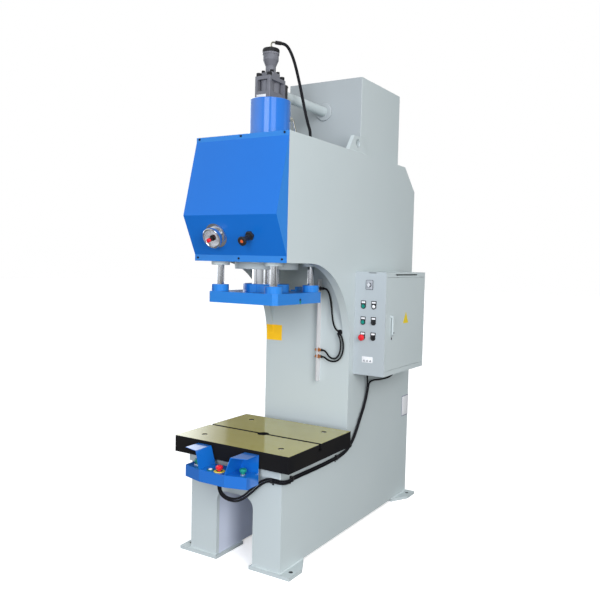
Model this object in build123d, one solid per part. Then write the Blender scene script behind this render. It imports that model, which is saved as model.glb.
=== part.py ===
from build123d import *
import math
import os

# Single-column hydraulic press. Millimetres, +Z up, +Y runs from the front of the press to its back.
# The origin lies on the floor at the middle of the four foundation bolt holes, which is also the middle of
# the frame's depth and width. All pieces stand in their place in the press, with the ram at its upper limit.

# Frame weldment
FRAME_DEPTH = 1680.0
FRAME_TOP = 2400.0
SIDE_PLATE = 50.0
JAW_TOP = 545.0
HEAD_BOTTOM = 1704.0
COLUMN_FROM_FRONT = 730.0
THROAT_RADIUS = 490.0
CHAMFER_RUN = 180.0
CHAMFER_DROP = 160.0
LEG_PLATE = 25.0
COLUMN_WEB = 25.0
REAR_PLATE = 20.0
DECK_PLATE = 25.0
HEAD_BASE = 60.0
ARCH_WIDTH = 254.0
ARCH_TOP = 400.0
ARCH_RADIUS = 65.0
LINER_SHEET = 12.0

# Feet
FOOT_PLATE = 20.0
FOOT_LENGTH = 257.0
FOOT_LIP = 15.0
FOOT_INSIDE_LIP = 12.0
FOOT_REACH = 70.0
FOOT_CUT_LENGTH = 127.0
FOOT_HOLE = 24.0
FOOT_HOLE_OUT = 38.0
FOOT_HOLE_FROM_FACE = 50.0

# Socket head screws, as ratios to their thread size
SCREW_HEAD_RATIO = 1.5
SCREW_KEY_RATIO = 0.45
SCREW_CHAMFER_RATIO = 1 / 12

# Work table and its seat
SEAT_SIDE_LIP = 5.0
SEAT_CHAMFER = 4.0
SEAT_PLATE = 50.0
SEAT_OVERHANG = 22.0
TABLE_WIDTH = 790.0
TABLE_LENGTH = 690.0
TABLE_THICKNESS = 94.0
TABLE_OVERHANG = 60.0
TABLE_BORE = 70.0
SLOT_WIDTH = 22.0
SLOT_DEPTH = 42.0
SLOT_FOOT_WIDTH = 37.0
SLOT_FOOT_DEPTH = 17.0
TABLE_BOLT_FROM_SIDE = 45.0
TABLE_BOLT_Y = 464.0
TABLE_BOLT = 20.0
BOLT_IN_SEAT = 36.0
BOLT_GAP = 1.0
BOLT_END_GAP = 2.0
TABLE_BOLT_SUNK = 4.0
COUNTERBORE_ROOM = 3.0
TABLE_CHAMFER = 2.0

# Press axis, ram and guides
AXIS_FROM_FRONT = 265.0
PLATEN_WIDTH = 476.0
PLATEN_LENGTH = 500.0
PLATEN_THICKNESS = 63.0
PLATEN_CORNER = 23.0
PLATEN_TO_HEAD = 170.0
SHANK_HOLE = 50.0
SHANK_DEPTH = 45.0
SHANK_SCREW = 20.0
ROD_DIAMETER = 165.0
RAM_FLANGE_DIAMETER = 269.0
RAM_FLANGE_HEIGHT = 46.0
RAM_STROKE = 450.0
GUIDE_ROD = 42.0
GUIDE_IN_PLATEN = 40.0
COLLAR_DIAMETER = 99.0
COLLAR_HEIGHT = 40.0
COLLAR_SLIT = 3.0
COLLAR_FROM_SIDE = 3.5
COLLAR_FROM_END = 5.5
BUSH_FLANGE = 105.0
BUSH_FLANGE_HEIGHT = 20.0
BUSH_BODY = 70.0
BUSH_LENGTH = 140.0
BUSH_TO_ROD_TOP = 15.0
BUSH_TO_SIDE_PLATE = 45.0
TURNED_CHAMFER = 3.0
FINE_CHAMFER = 2.0
FIT = 0.05
SEATED = 0.3

# Main cylinder
CYLINDER_DIAMETER = 240.0
CYLINDER_BORE = 185.0
CYLINDER_TOP = 2633.0
CYLINDER_CAP = 83.0
CYLINDER_SHOULDER = 300.0
SHOULDER_HEIGHT = 40.0
GLAND_DIAMETER = 370.0
GLAND_HEIGHT = 40.0
GLAND_SPIGOT = 60.0
PISTON_HEIGHT = 100.0
PISTON_LAND = 25.0
PISTON_GROOVE = 10.0
PISTON_GROOVE_DEPTH = 6.0
PISTON_CHAMFER = 4.0
PISTON_TOP_GAP = 50.0
PORT_DIAMETER = 56.0

# Prefill valve on the cylinder, its actuator and the suction line
VALVE_WIDTH = 104.0
VALVE_LENGTH = 160.0
VALVE_HEIGHT = 127.0
VALVE_FOOT = 41.0
VALVE_HEAD = 20.0
VALVE_POST = 18.0
VALVE_CORE = 76.0
VALVE_CORE_LENGTH = 136.0
VALVE_CORE_WAIST = 40.0
VALVE_BOLT = 20.0
VALVE_BOLT_EDGE = 16.0
VALVE_ROUND = 4.0
VALVE_HOLE_FLOOR = 1.0
ACTUATOR_FLANGE = 84.0
ACTUATOR_FLANGE_HEIGHT = 28.0
ACTUATOR_BOLT = 14.0
ACTUATOR_BOLT_EDGE = 12.0
ACTUATOR_ROUND = 12.0
ACTUATOR_NECK = 60.0
ACTUATOR_BODY = 90.0
NECK_HEIGHT = 40.0
CONE_HEIGHT = 36.0
ACTUATOR_BODY_HEIGHT = 31.0
CAP_DIAMETER = 96.0
CAP_HEIGHT = 35.0
CAP_ROUND = 6.0
CAP_GROOVE_UP = 8.0
CAP_GROOVE = 3.0
CAP_GROOVE_DEPTH = 2.0
SUCTION_PIPE = 60.0
SUCTION_WALL = 4.0
SUCTION_HEIGHT = 60.0
SUCTION_FLANGE = 100.0
SUCTION_FLANGE_THICK = 26.0
SUCTION_BOLT = 10.0
SUCTION_BOLT_EDGE = 10.0
SUCTION_ROUND = 8.0
ELBOW_TUBE = 10.0
ELBOW_RISE = 26.0
ELBOW_RADIUS = 14.0
ELBOW_RUN = 10.0
ELBOW_NUT = 22.0
ELBOW_NUT_HEIGHT = 12.0
FERRULE_DIAMETER = 22.0
FERRULE_LENGTH = 38.0
FERRULE_CHAMFER = 1.5
HOSE_DIAMETER = 18.0
HOSE_HEADING = 35.0
HOSE_FITTING_HEIGHT = 16.0
HOSE_FITTING_WIDTH = 28.0
RETURN_PORT_Z = 2530.0
RETURN_HEADING = 62.0
RETURN_TUBE = 12.0
RETURN_OUT = 15.0
RETURN_REACH = 33.0
RETURN_BEND = 14.0
UNION_WIDTH = 22.0
UNION_LENGTH = 14.0

# Oil tank and lifting lugs
TANK_FROM_SIDE = 43.0
TANK_LENGTH = 583.0
TANK_HEIGHT = 490.0
TANK_FROM_FRONT = 885.0
TANK_WALL = 6.0
TANK_ROUND = 4.0
TANK_COLLAR = 116.0
TANK_COLLAR_THICK = 14.0
TANK_COLLAR_ROUND = 9.0
LUG_FROM_FRONT = 676.0
LUG_LENGTH = 236.0
LUG_HEIGHT = 100.0
LUG_TOP_LENGTH = 96.0
LUG_THICKNESS = 25.0
LUG_HOLE = 52.0
LUG_HOLE_FROM_TOP = 16.0

# Head cover of folded sheet
COVER_SHEET = 3.0
COVER_REACH = 107.0
COVER_CREASE = 1955.0
COVER_FOLD_TOP = 26.0
COVER_FOLD_BOTTOM = 36.0
COVER_HOLLOW_BACK = 60.0
PANEL_HOLE_GAP = 1.0

# Pressure gauge and throttle valve on the cover's lower panel
GAUGE_X = -118.0
GAUGE_FLANGE = 140.0
GAUGE_CASE = 108.0
GAUGE_BEZEL = 118.0
GAUGE_DEPTH = 50.0
GAUGE_DIAL_DEPTH = 26.0
GAUGE_GLASS = 104.0
GAUGE_GLASS_THICK = 3.0
GAUGE_SPINDLE = 10.0
GAUGE_HUB = 30.0
GAUGE_STUB = 18.0
GAUGE_STUB_LENGTH = 30.0
GAUGE_FLANGE_RIM = 4.0
GAUGE_BEZEL_DEPTH = 16.0
GAUGE_KNOB_BOSS = 20.0
GAUGE_KNOB_NECK = 12.0
GAUGE_KNOB_TIP = 22.0
GAUGE_KNOB_STEPS = (8.0, 10.0, 16.0, 18.0, 32.0, 34.0)
THROTTLE_X = 113.0
THROTTLE_NUT = 46.0
THROTTLE_NUT_HEIGHT = 14.0
THROTTLE_BARREL = 28.0
THROTTLE_BARREL_LENGTH = 36.0
THROTTLE_STEM = 12.0
THROTTLE_STEM_LENGTH = 72.0
THROTTLE_REAR = 20.0
THROTTLE_REAR_LENGTH = 50.0
THROTTLE_KNOB = 50.0
THROTTLE_KNOB_LENGTH = 46.0
THROTTLE_KNOB_GAP = 2.0
THROTTLE_KNOB_HUB = 24.0
THROTTLE_KNOB_HUB_LENGTH = 8.0
THROTTLE_KNOB_HUB_TAPER = 1.0
THROTTLE_KNOB_RIM = 8.0
THROTTLE_KNOB_FLARE = 4.0
THROTTLE_DISH = 22.0
THROTTLE_DISH_DEPTH = 3.0

# Sensor rail on the column
RAIL_X = 105.0
RAIL_LEG = 40.0
RAIL_FOOT = 30.0
RAIL_SHEET = 4.0
RAIL_BOTTOM = 956.0
RAIL_TOP = 1607.0
SENSOR_DIAMETER = 18.0
SENSOR_LENGTH = 50.0
SENSOR_BEHIND = 23.0
SENSOR_FROM_COLUMN = 22.0
SENSOR_HEIGHTS = (1547.0, 1156.0, 1114.0)
SENSOR_NUT = 24.0
SENSOR_NUT_HEIGHT = 4.0
SENSOR_CHAMFER = 1.0
FLAG_GAP = 5.0
FLAG_THICKNESS = 8.0
FLAG_HEIGHT = 26.0
FLAG_SIDE_GAP = 15.0
FLAG_FOOT_WIDTH = 38.0
FLAG_FOOT_LENGTH = 40.0
FLAG_FROM_EDGE = 5.0
SENSOR_CABLE = 11.0
GROMMET_FROM_SIDE_PLATE = 18.0
GROMMET_Z = 1277.0
GROMMET = 34.0
GROMMET_THICK = 4.0
GROMMET_LIP = 5.0

# Electrical enclosure on the right side of the column
BOX_WIDTH = 213.0
BOX_LENGTH = 622.0
BOX_HEIGHT = 646.0
BOX_BOTTOM = 1014.0
BOX_FROM_FRONT = 788.0
BOX_SHEET = 3.0
DOOR_SIDE_RIM = 20.0
DOOR_END_RIM = 31.0
DOOR_SHEET = 2.5
DOOR_FOLD = 14.0
DOOR_GAP = 1.5
HINGE_BACK = 7.0
HINGE_IN = 14.0
HINGE_PIN = 5.0
HINGE_BRACKET = 6.0
HINGE_PIN_END = 4.0
VENT_LENGTH = 348.0
VENT_HEIGHT = 8.0
FRONT_VENT = 51.0
FRONT_VENT_X = 119.0
HANDLE_FROM_EDGE = 72.0
HANDLE_BOTTOM = 1267.0
HANDLE_LENGTH = 125.0
HANDLE_WIDTH = 22.0
HANDLE_THICK = 12.0
HANDLE_STAND = 7.0
HANDLE_PIN = 6.0
HANDLE_PIN_DROP = 8.0
HANDLE_ROUND = 8.0
LOCK_PLATE = 2.0
LOCK_MARGIN = 6.0
EAR_THICK = 4.0
BUTTON_COLUMNS = (61.0, 133.0)
BUTTON_ROWS = (1446.0, 1346.0, 1250.0)
BUTTON_STEM = 22.0
STEM_BEHIND = 18.0
PUSH_PROUD = 7.0
BUTTON_CHAMFER = 1.0
LAMP_PROUD = 13.0
LAMP_SHOULDER = 6.0
LAMP_TAPER = 3.0
LAMP_CROWN = 2.0
SELECTOR_BASE = 8.0
SELECTOR_GRIP = 7.0
SELECTOR_GRIP_HEIGHT = 12.0
SELECTOR_GRIP_LENGTH = 19.0
SELECTOR_ROUND = 4.0
SWITCH_HUB = 6.0
SWITCH_GRIP = 20.0
SWITCH_GRIP_HEIGHT = 10.0
BUTTON_BEZEL = 34.0
BEZEL_HEIGHT = 4.0
BEZEL_CHAMFER = 1.0
MUSHROOM = 40.0
MUSHROOM_NECK = 12.0
MUSHROOM_RIM = 5.0
MUSHROOM_RIM_HEIGHT = 8.0
MUSHROOM_DOME = 9.0
MUSHROOM_EDGE = 3.0
MUSHROOM_EDGE_HEIGHT = 5.0
MUSHROOM_CROWN_HEIGHT = 8.0
LEGEND_WIDTH = 34.0
LEGEND_HEIGHT = 22.0
LEGEND_THICKNESS = 2.0
LEGEND_OVERLAP = 4.0
SWITCH_X = 100.0
SWITCH_Z = 1580.0
SWITCH_PLATE_WIDTH = 48.0
SWITCH_PLATE_HEIGHT = 60.0
SWITCH_PLATE_ROUND = 4.0

# Two-hand console
CONSOLE_WIDTH = 420.0
CONSOLE_BOTTOM = 510.0
CONSOLE_HEIGHT = 65.0
CONSOLE_REAR = 70.0
CONSOLE_ENDS = 176.0
CONSOLE_BOW = 209.0
BOW_WIDTH = 172.0
GUARD_HEIGHT = 98.0
GUARD_TOP_WIDTH = 92.0
CONSOLE_SHEET = 3.0
BRACKET_WIDTH = 220.0
BRACKET_PLATE = 6.0
BRACKET_DROP = 70.0
PALM_X = 156.0
PALM_FROM_FRONT = 137.0
CONSOLE_STOP_X = 21.0
CONSOLE_STOP_FROM_FRONT = 168.0
CONSOLE_BUTTON_X = -34.0
CONSOLE_BUTTON_FROM_FRONT = 176.0

# Cords in general: how much of the shorter run beside a corner its arc takes up
ARC_SHARE = 0.45

# Console leads
LEAD_DIAMETER = 12.0
LEAD_GLAND = 22.0
LEAD_SLEEVE = 13.0
CLIP_WALL = 3.0
CLIP_LENGTH = 12.0
CLIP_TAB = 18.0
CLIP_TAB_DROP = 4.0
TIE_WIDTH = 5.0
TIE_THICK = 2.0

# Power unit inside the column
MOTOR_DIAMETER = 240.0
MOTOR_HEIGHT = 380.0
MOTOR_EDGE = 20.0
BELL_DIAMETER = 180.0
BELL_WALL = 12.0
BELL_HEIGHT = 150.0
PUMP_DIAMETER = 120.0
UNIT_PLATE = 20.0
UNIT_PLATE_LIP = 15.0
UNIT_FROM_FRONT = 1180.0
BLOCK_LENGTH = 160.0
BLOCK_GAP = 10.0

# Sizes and places worked out from the sizes above. The guide rods stand at the platen's corners, and the
# frame is as wide as the head base needs for their bushes.
GUIDE_X = PLATEN_WIDTH - COLLAR_DIAMETER - 2 * COLLAR_FROM_SIDE
GUIDE_Y = PLATEN_LENGTH - COLLAR_DIAMETER - 2 * COLLAR_FROM_END
FRAME_WIDTH = GUIDE_X + BUSH_BODY + 2 * (BUSH_TO_SIDE_PLATE + SIDE_PLATE)
SEAT_WIDTH = FRAME_WIDTH + 2 * SEAT_SIDE_LIP
TABLE_BOLT_X = FRAME_WIDTH - 2 * TABLE_BOLT_FROM_SIDE
TANK_WIDTH = FRAME_WIDTH - 2 * TANK_FROM_SIDE
HALF = FRAME_WIDTH / 2
FRONT = -FRAME_DEPTH / 2
REAR = FRAME_DEPTH / 2
INNER = HALF - SIDE_PLATE
GROMMET_X = INNER - GROMMET_FROM_SIDE_PLATE
COLUMN_FRONT = FRONT + COLUMN_FROM_FRONT
AXIS_Y = FRONT + AXIS_FROM_FRONT
SEAT_TOP = JAW_TOP + SEAT_PLATE
TABLE_TOP = SEAT_TOP + TABLE_THICKNESS
TABLE_BOLT_SEAT = TABLE_TOP - TABLE_BOLT - TABLE_BOLT_SUNK
TABLE_FRONT = FRONT - TABLE_OVERHANG
TABLE_MID = TABLE_FRONT + TABLE_LENGTH / 2
PLATEN_TOP = HEAD_BOTTOM - PLATEN_TO_HEAD
PLATEN_BOTTOM = PLATEN_TOP - PLATEN_THICKNESS
BASE_TOP = HEAD_BOTTOM + HEAD_BASE
DECK_BOTTOM = FRAME_TOP - DECK_PLATE
VALVE_TOP = CYLINDER_TOP + VALVE_HEIGHT
VALVE_REAR = AXIS_Y + VALVE_LENGTH / 2
SUCTION_Z = CYLINDER_TOP + SUCTION_HEIGHT
TANK_FRONT = FRONT + TANK_FROM_FRONT
CAP_TOP = (VALVE_TOP + ACTUATOR_FLANGE_HEIGHT + NECK_HEIGHT + CONE_HEIGHT
           + ACTUATOR_BODY_HEIGHT + CAP_HEIGHT)
ELBOW_TOP = CAP_TOP + ELBOW_RISE + ELBOW_RADIUS
BOX_FRONT = FRONT + BOX_FROM_FRONT
BOX_REAR = BOX_FRONT + BOX_LENGTH
BOX_TOP = BOX_BOTTOM + BOX_HEIGHT
BOX_SIDE = HALF + BOX_WIDTH
CONSOLE_TOP = CONSOLE_BOTTOM + CONSOLE_HEIGHT
GUARD_TOP = CONSOLE_TOP + GUARD_HEIGHT
LINER_TOP = ARCH_TOP + LINER_SHEET
GUIDE_PLACES = [(x, AXIS_Y + y) for x in (-GUIDE_X / 2, GUIDE_X / 2) for y in (-GUIDE_Y / 2, GUIDE_Y / 2)]
SENSOR_Y = COLUMN_FRONT - SENSOR_FROM_COLUMN
SENSOR_NOSE = RAIL_X - SENSOR_BEHIND
BUTTON_STEM_HOLE = BUTTON_STEM / 2 + FIT

# The pilot hose lies in one upright plane. Its points give the distance from the press axis, and the height
# above the elbow's middle line for the upper ones and above the deck for the lower ones.
HOSE_FROM_ELBOW = [(62, 0), (81, 0), (103, -13), (125, -46), (143, -86), (159, -133), (176, -192),
                   (193, -257)]
HOSE_FROM_DECK = [(209, 248), (225, 184), (243, 123), (258, 86), (258, 54)]

# Switch cables: the first points are measured from the switch's tail, the last ones from the grommet.
UPPER_CABLE_START = [(0, 0, 0), (16, 0, 0), (34, 0, -16), (47, -1, -47), (56, -2, -85), (63, -3, -127),
                     (68, -4, -168)]
UPPER_CABLE_END = [(-39, -23, 64), (-27, -24, 32), (-10, -23, 13), (-2, -15, 6), (-2, 0, 6)]
MIDDLE_CABLE_START = [(0, 0, 0), (16, 0, 0), (32, 0, -14), (49, -1, -35), (74, -2, -48)]
MIDDLE_CABLE_END = [(-12, -21, -165), (10, -22, -141), (20, -23, -104), (21, -24, -65), (13, -24, -33),
                    (0, -22, -14), (-7, -14, -6), (-7, 0, -6)]
LOWER_CABLE_START = [(0, 0, 0), (16, 0, 0), (36, 0, -14), (64, -1, -23), (97, -3, -22)]
LOWER_CABLE_END = [(11, -23, -171), (32, -24, -140), (40, -24, -99), (38, -24, -59), (28, -24, -28),
                   (15, -22, -11), (7, -14, -4), (7, 0, -4)]

# The two console leads hang from the console in a loop, measured from the console's underside. Then they run
# side by side through the clips round the leg's corner and up the side plate, measured from the seat's lower
# corner. They part above the tie, each to its own gland, measured from the enclosure's lower front corner.
FRONT_LEAD_LOOP = [(7, -140, -14), (7, -140, -38), (14, -135, -62), (31, -126, -81), (55, -114, -92),
                   (84, -100, -94), (111, -84, -82), (138, -68, -57), (163, -52, -29)]
FRONT_LEAD_SIDE = [(-127, -37, -38), (-102, -25, -19), (-75, -17, -10), (-38, -16, -10), (-6, -18, -11),
                   (20, -3, -12), (26, 28, -13), (18, 62, -14), (11, 99, -14), (10, 145, -15),
                   (9, 230, -17), (9, 340, -19), (10, 440, -18), (11, 530, -16), (13, 635, -11),
                   (14, 713, 8), (14, 778, 48), (15, 823, 102), (15, 865, 167), (16, 907, 226),
                   (18, 938, 289)]
FRONT_LEAD_END = [(22, 160, -129), (24, 162, -92), (26, 156, -66), (28, 148, -44), (30, 144, -28),
                  (30, 144, -14)]
REAR_LEAD_LOOP = [(-7, -140, -14), (-7, -140, -40), (2, -135, -68), (23, -126, -92), (51, -114, -105),
                  (87, -100, -107), (119, -84, -93), (148, -68, -67), (173, -52, -39)]
REAR_LEAD_SIDE = [(-118, -37, -48), (-95, -25, -31), (-72, -17, -23), (-38, -16, -23), (-6, -18, -24),
                  (20, -3, -25), (26, 28, -26), (18, 62, -27), (11, 99, -27), (10, 145, -28),
                  (9, 230, -30), (9, 340, -32), (10, 440, -31), (11, 530, -29), (13, 635, -24),
                  (14, 718, -4), (14, 786, 38), (15, 833, 94), (15, 875, 159), (16, 918, 219),
                  (18, 950, 285)]
REAR_LEAD_END = [(22, 173, -131), (24, 176, -93), (27, 191, -74), (33, 224, -67), (42, 278, -70),
                 (53, 342, -72), (65, 398, -67), (75, 438, -52), (80, 456, -30), (80, 456, -14)]

# The clips hold the leads at these runs of their routes, and the tie binds the first run of the leads' ends.
FRONT_CLIP_INDEX = len(FRONT_LEAD_LOOP) + 2
SIDE_CLIP_INDEXES = [FRONT_CLIP_INDEX + runs for runs in (5, 11, 13)]
TIE_INDEX = len(FRONT_LEAD_LOOP) + len(FRONT_LEAD_SIDE)


def route(*parts):
    """The points of a cord, from parts that are each measured from one corner of the press."""
    return [(corner[0] + x, corner[1] + y, corner[2] + z) for corner, points in parts for x, y, z in points]


def switch_tail(index):
    """Where the cable leaves a proximity switch."""
    return SENSOR_NOSE + SENSOR_LENGTH, SENSOR_Y, SENSOR_HEIGHTS[index]


CONSOLE_CORNER = (0, FRONT, CONSOLE_BOTTOM)
SEAT_CORNER = (HALF, FRONT, JAW_TOP)
BOX_CORNER = (HALF, BOX_FRONT, BOX_BOTTOM)
GROMMET_MIDDLE = (GROMMET_X, COLUMN_FRONT - GROMMET_THICK, GROMMET_Z)
UPPER_CABLE = route((switch_tail(0), UPPER_CABLE_START), (GROMMET_MIDDLE, UPPER_CABLE_END))
MIDDLE_CABLE = route((switch_tail(1), MIDDLE_CABLE_START), (GROMMET_MIDDLE, MIDDLE_CABLE_END))
LOWER_CABLE = route((switch_tail(2), LOWER_CABLE_START), (GROMMET_MIDDLE, LOWER_CABLE_END))
FRONT_LEAD = route((CONSOLE_CORNER, FRONT_LEAD_LOOP), (SEAT_CORNER, FRONT_LEAD_SIDE),
                   (BOX_CORNER, FRONT_LEAD_END))
REAR_LEAD = route((CONSOLE_CORNER, REAR_LEAD_LOOP), (SEAT_CORNER, REAR_LEAD_SIDE),
                  (BOX_CORNER, REAR_LEAD_END))


def block(x0, x1, y0, y1, z0, z1):
    """A plain block between two opposite corners."""
    return Pos(x0, y0, z0) * Box(x1 - x0, y1 - y0, z1 - z0, align=(Align.MIN, Align.MIN, Align.MIN))


def post(x, y, diameter, z0, z1):
    """An upright round bar."""
    return Pos(x, y, z0) * Cylinder(diameter / 2, z1 - z0, align=(Align.CENTER, Align.CENTER, Align.MIN))


def bar_along_x(x0, x1, y, z, diameter):
    """A round bar that lies along X."""
    centred = (Align.CENTER, Align.CENTER, Align.MIN)
    return Pos(x0, y, z) * Rot(0, 90, 0) * Cylinder(diameter / 2, x1 - x0, align=centred)


def bar_along_y(x, y0, y1, z, diameter):
    """A round bar that lies along Y."""
    centred = (Align.CENTER, Align.CENTER, Align.MIN)
    return Pos(x, y0, z) * Rot(-90, 0, 0) * Cylinder(diameter / 2, y1 - y0, align=centred)


def side_prism(points, x0, x1):
    """A prism along X from its outline in Y and Z."""
    outline = make_face(Polyline(*points, close=True))
    return extrude(Plane.YZ.offset(x0) * outline, amount=x1 - x0)


def plan_prism(points, z0, z1):
    """An upright prism from its outline in X and Y."""
    outline = make_face(Polyline(*points, close=True))
    return extrude(Plane.XY.offset(z0) * outline, amount=z1 - z0)


def front_prism(points, y0, y1):
    """A prism along Y from its outline in X and Z."""
    outline = make_face(Polyline(*points, close=True))
    return extrude(Plane.XZ.offset(-y1) * outline, amount=y1 - y0)


def turned(points):
    """A turned piece from its half section in radius and height."""
    return revolve(Plane.XZ * make_face(Polyline(*points, close=True)), Axis.Z)


def tube_along(points, radii, diameter):
    """A round cord through hand-chosen points, with an arc at every corner."""
    path = FilletPolyline(*points, radius=radii)
    start = Plane(origin=path @ 0, z_dir=path % 0)
    return sweep(start * Circle(diameter / 2), path=path)


def arc_radii(points):
    """The arc at each corner, as large as the shorter of its two runs leaves room for."""
    radii = []
    for before, here, after in zip(points, points[1:], points[2:]):
        run_in = Vector(*here) - Vector(*before)
        run_out = Vector(*after) - Vector(*here)
        turn = math.radians(run_in.get_angle(run_out))
        radii.append(ARC_SHARE * min(run_in.length, run_out.length) / math.tan(turn / 2))
    return radii


def cord(label, points, diameter):
    """A cord, with its smallest arc and its length printed."""
    radii = arc_radii(points)
    solid = tube_along(points, radii, diameter)
    length = FilletPolyline(*points, radius=radii).length
    section = math.pi * diameter * diameter / 4
    print(label, "length", round(length), "radii", [round(r) for r in radii],
          "volume share", round(solid.volume / (section * length), 4))
    return solid


# Frame

def throat_space(x0, x1):
    """The open throat between jaw and head, with its quarter-round upper corner."""
    arc_y = COLUMN_FRONT - THROAT_RADIUS
    arc_z = HEAD_BOTTOM - THROAT_RADIUS
    space = block(x0, x1, FRONT - 1, COLUMN_FRONT, JAW_TOP, HEAD_BOTTOM)
    corner = block(x0, x1, arc_y, COLUMN_FRONT, arc_z, HEAD_BOTTOM)
    return space - (corner - bar_along_x(x0, x1, arc_y, arc_z, 2 * THROAT_RADIUS))


def side_plate(side):
    """One flame-cut C plate, side -1 for the left and 1 for the right."""
    outline = [(FRONT, FOOT_PLATE), (REAR, FOOT_PLATE), (REAR, FRAME_TOP - CHAMFER_DROP),
               (REAR - CHAMFER_RUN, FRAME_TOP), (FRONT, FRAME_TOP)]
    x0, x1 = sorted((side * INNER, side * HALF))
    plate = side_prism(outline, x0, x1) - throat_space(x0, x1)
    if side > 0:
        plate -= bar_along_x(x0 - 1, x1 + 1, lead_entry_y(), BOX_BOTTOM + BOX_HEIGHT / 2, LEAD_GLAND * 2)
    return plate


def lead_entry_y():
    """Where the enclosure's wires pass through the side plate into the column."""
    return BOX_FRONT + BOX_LENGTH / 2


def arch_space(grow, y0, y1):
    """The tunnel between the legs, with its upper corners rounded."""
    half = ARCH_WIDTH / 2 + grow
    space = block(-half, half, y0, y1, FOOT_PLATE, ARCH_TOP + grow)
    upper = space.edges().filter_by(Axis.Y).group_by(Axis.Z)[-1]
    return fillet(upper, ARCH_RADIUS + grow)


def leg_front_plate():
    plate = block(-INNER, INNER, FRONT, FRONT + LEG_PLATE, FOOT_PLATE, JAW_TOP)
    return plate - arch_space(0, FRONT - 1, FRONT + LEG_PLATE + 1)


def tunnel_liner():
    y0, y1 = FRONT + LEG_PLATE, REAR - REAR_PLATE
    return arch_space(LINER_SHEET, y0, y1) - arch_space(0, y0 - 1, y1 + 1)


def rear_plate():
    """The back of the column, bent once to follow the cut upper corner of the side plates."""
    slope = CHAMFER_DROP / CHAMFER_RUN
    drop = REAR_PLATE * math.hypot(CHAMFER_RUN, CHAMFER_DROP) / CHAMFER_RUN
    bend_z = FRAME_TOP - CHAMFER_DROP
    outline = [(REAR - REAR_PLATE, FOOT_PLATE), (REAR, FOOT_PLATE), (REAR, bend_z),
               (REAR - CHAMFER_RUN, FRAME_TOP), (REAR - CHAMFER_RUN, FRAME_TOP - drop),
               (REAR - REAR_PLATE, bend_z + REAR_PLATE * slope - drop)]
    return side_prism(outline, -INNER, INNER) - arch_space(0, REAR - REAR_PLATE - 1, REAR + 1)


def column_web():
    """The front wall of the column, which runs up behind the head as far as the deck."""
    web = block(-INNER, INNER, COLUMN_FRONT, COLUMN_FRONT + COLUMN_WEB, JAW_TOP, DECK_BOTTOM)
    web_back = COLUMN_FRONT + COLUMN_WEB
    return web - bar_along_y(GROMMET_X, COLUMN_FRONT - 1, web_back + 1, GROMMET_Z, GROMMET - 2 * GROMMET_LIP)


def head_base():
    """The thick plate that carries the cylinder and the guide bushes."""
    plate = block(-INNER, INNER, FRONT, COLUMN_FRONT, HEAD_BOTTOM, BASE_TOP)
    plate -= post(0, AXIS_Y, CYLINDER_DIAMETER, HEAD_BOTTOM - 1, BASE_TOP + 1)
    for x, y in GUIDE_PLACES:
        plate -= post(x, y, BUSH_BODY, HEAD_BOTTOM - 1, BASE_TOP + 1)
    return plate


def top_deck():
    deck = block(-INNER, INNER, FRONT, REAR - CHAMFER_RUN, DECK_BOTTOM, FRAME_TOP)
    deck -= post(0, AXIS_Y, CYLINDER_DIAMETER, DECK_BOTTOM - 1, FRAME_TOP + 1)
    hose_x, hose_y, _ = hose_points()[-1]
    return deck - post(hose_x, hose_y, HOSE_DIAMETER / 2, DECK_BOTTOM - 1, FRAME_TOP + 1)


def foot_outline():
    """Plan of the front right foot, its outer rear corner cut off."""
    inner = ARCH_WIDTH / 2 - FOOT_INSIDE_LIP
    front = FRONT - FOOT_LIP
    rear = front + FOOT_LENGTH
    outer = HALF + FOOT_REACH
    return [(inner, front), (outer, front), (outer, rear - FOOT_CUT_LENGTH), (HALF, rear), (inner, rear)]


def foot_plates():
    """Four foot plates under the corners of the frame, each with one foundation bolt hole."""
    foot = plan_prism(foot_outline(), 0, FOOT_PLATE)
    foot -= post(HALF + FOOT_HOLE_OUT, FRONT + FOOT_HOLE_FROM_FACE, FOOT_HOLE, -1, FOOT_PLATE + 1)
    right = [foot, mirror(foot, about=Plane.XZ)]
    left = [mirror(each, about=Plane.YZ) for each in right]
    return Compound(children=right + left)


def seat_plate():
    seat = block(-SEAT_WIDTH / 2, SEAT_WIDTH / 2, FRONT - SEAT_OVERHANG, COLUMN_FRONT, JAW_TOP, SEAT_TOP)
    seat = chamfer(seat.edges().filter_by(Axis.Z), SEAT_CHAMFER)
    for x, y in table_bolt_places():
        seat -= post(x, y, TABLE_BOLT, SEAT_TOP - BOLT_IN_SEAT, SEAT_TOP + 1)
    return seat


# Work table

def table_bolt_places():
    return [(x, TABLE_MID + y) for x in (-TABLE_BOLT_X / 2, TABLE_BOLT_X / 2)
            for y in (-TABLE_BOLT_Y / 2, TABLE_BOLT_Y / 2)]


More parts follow.
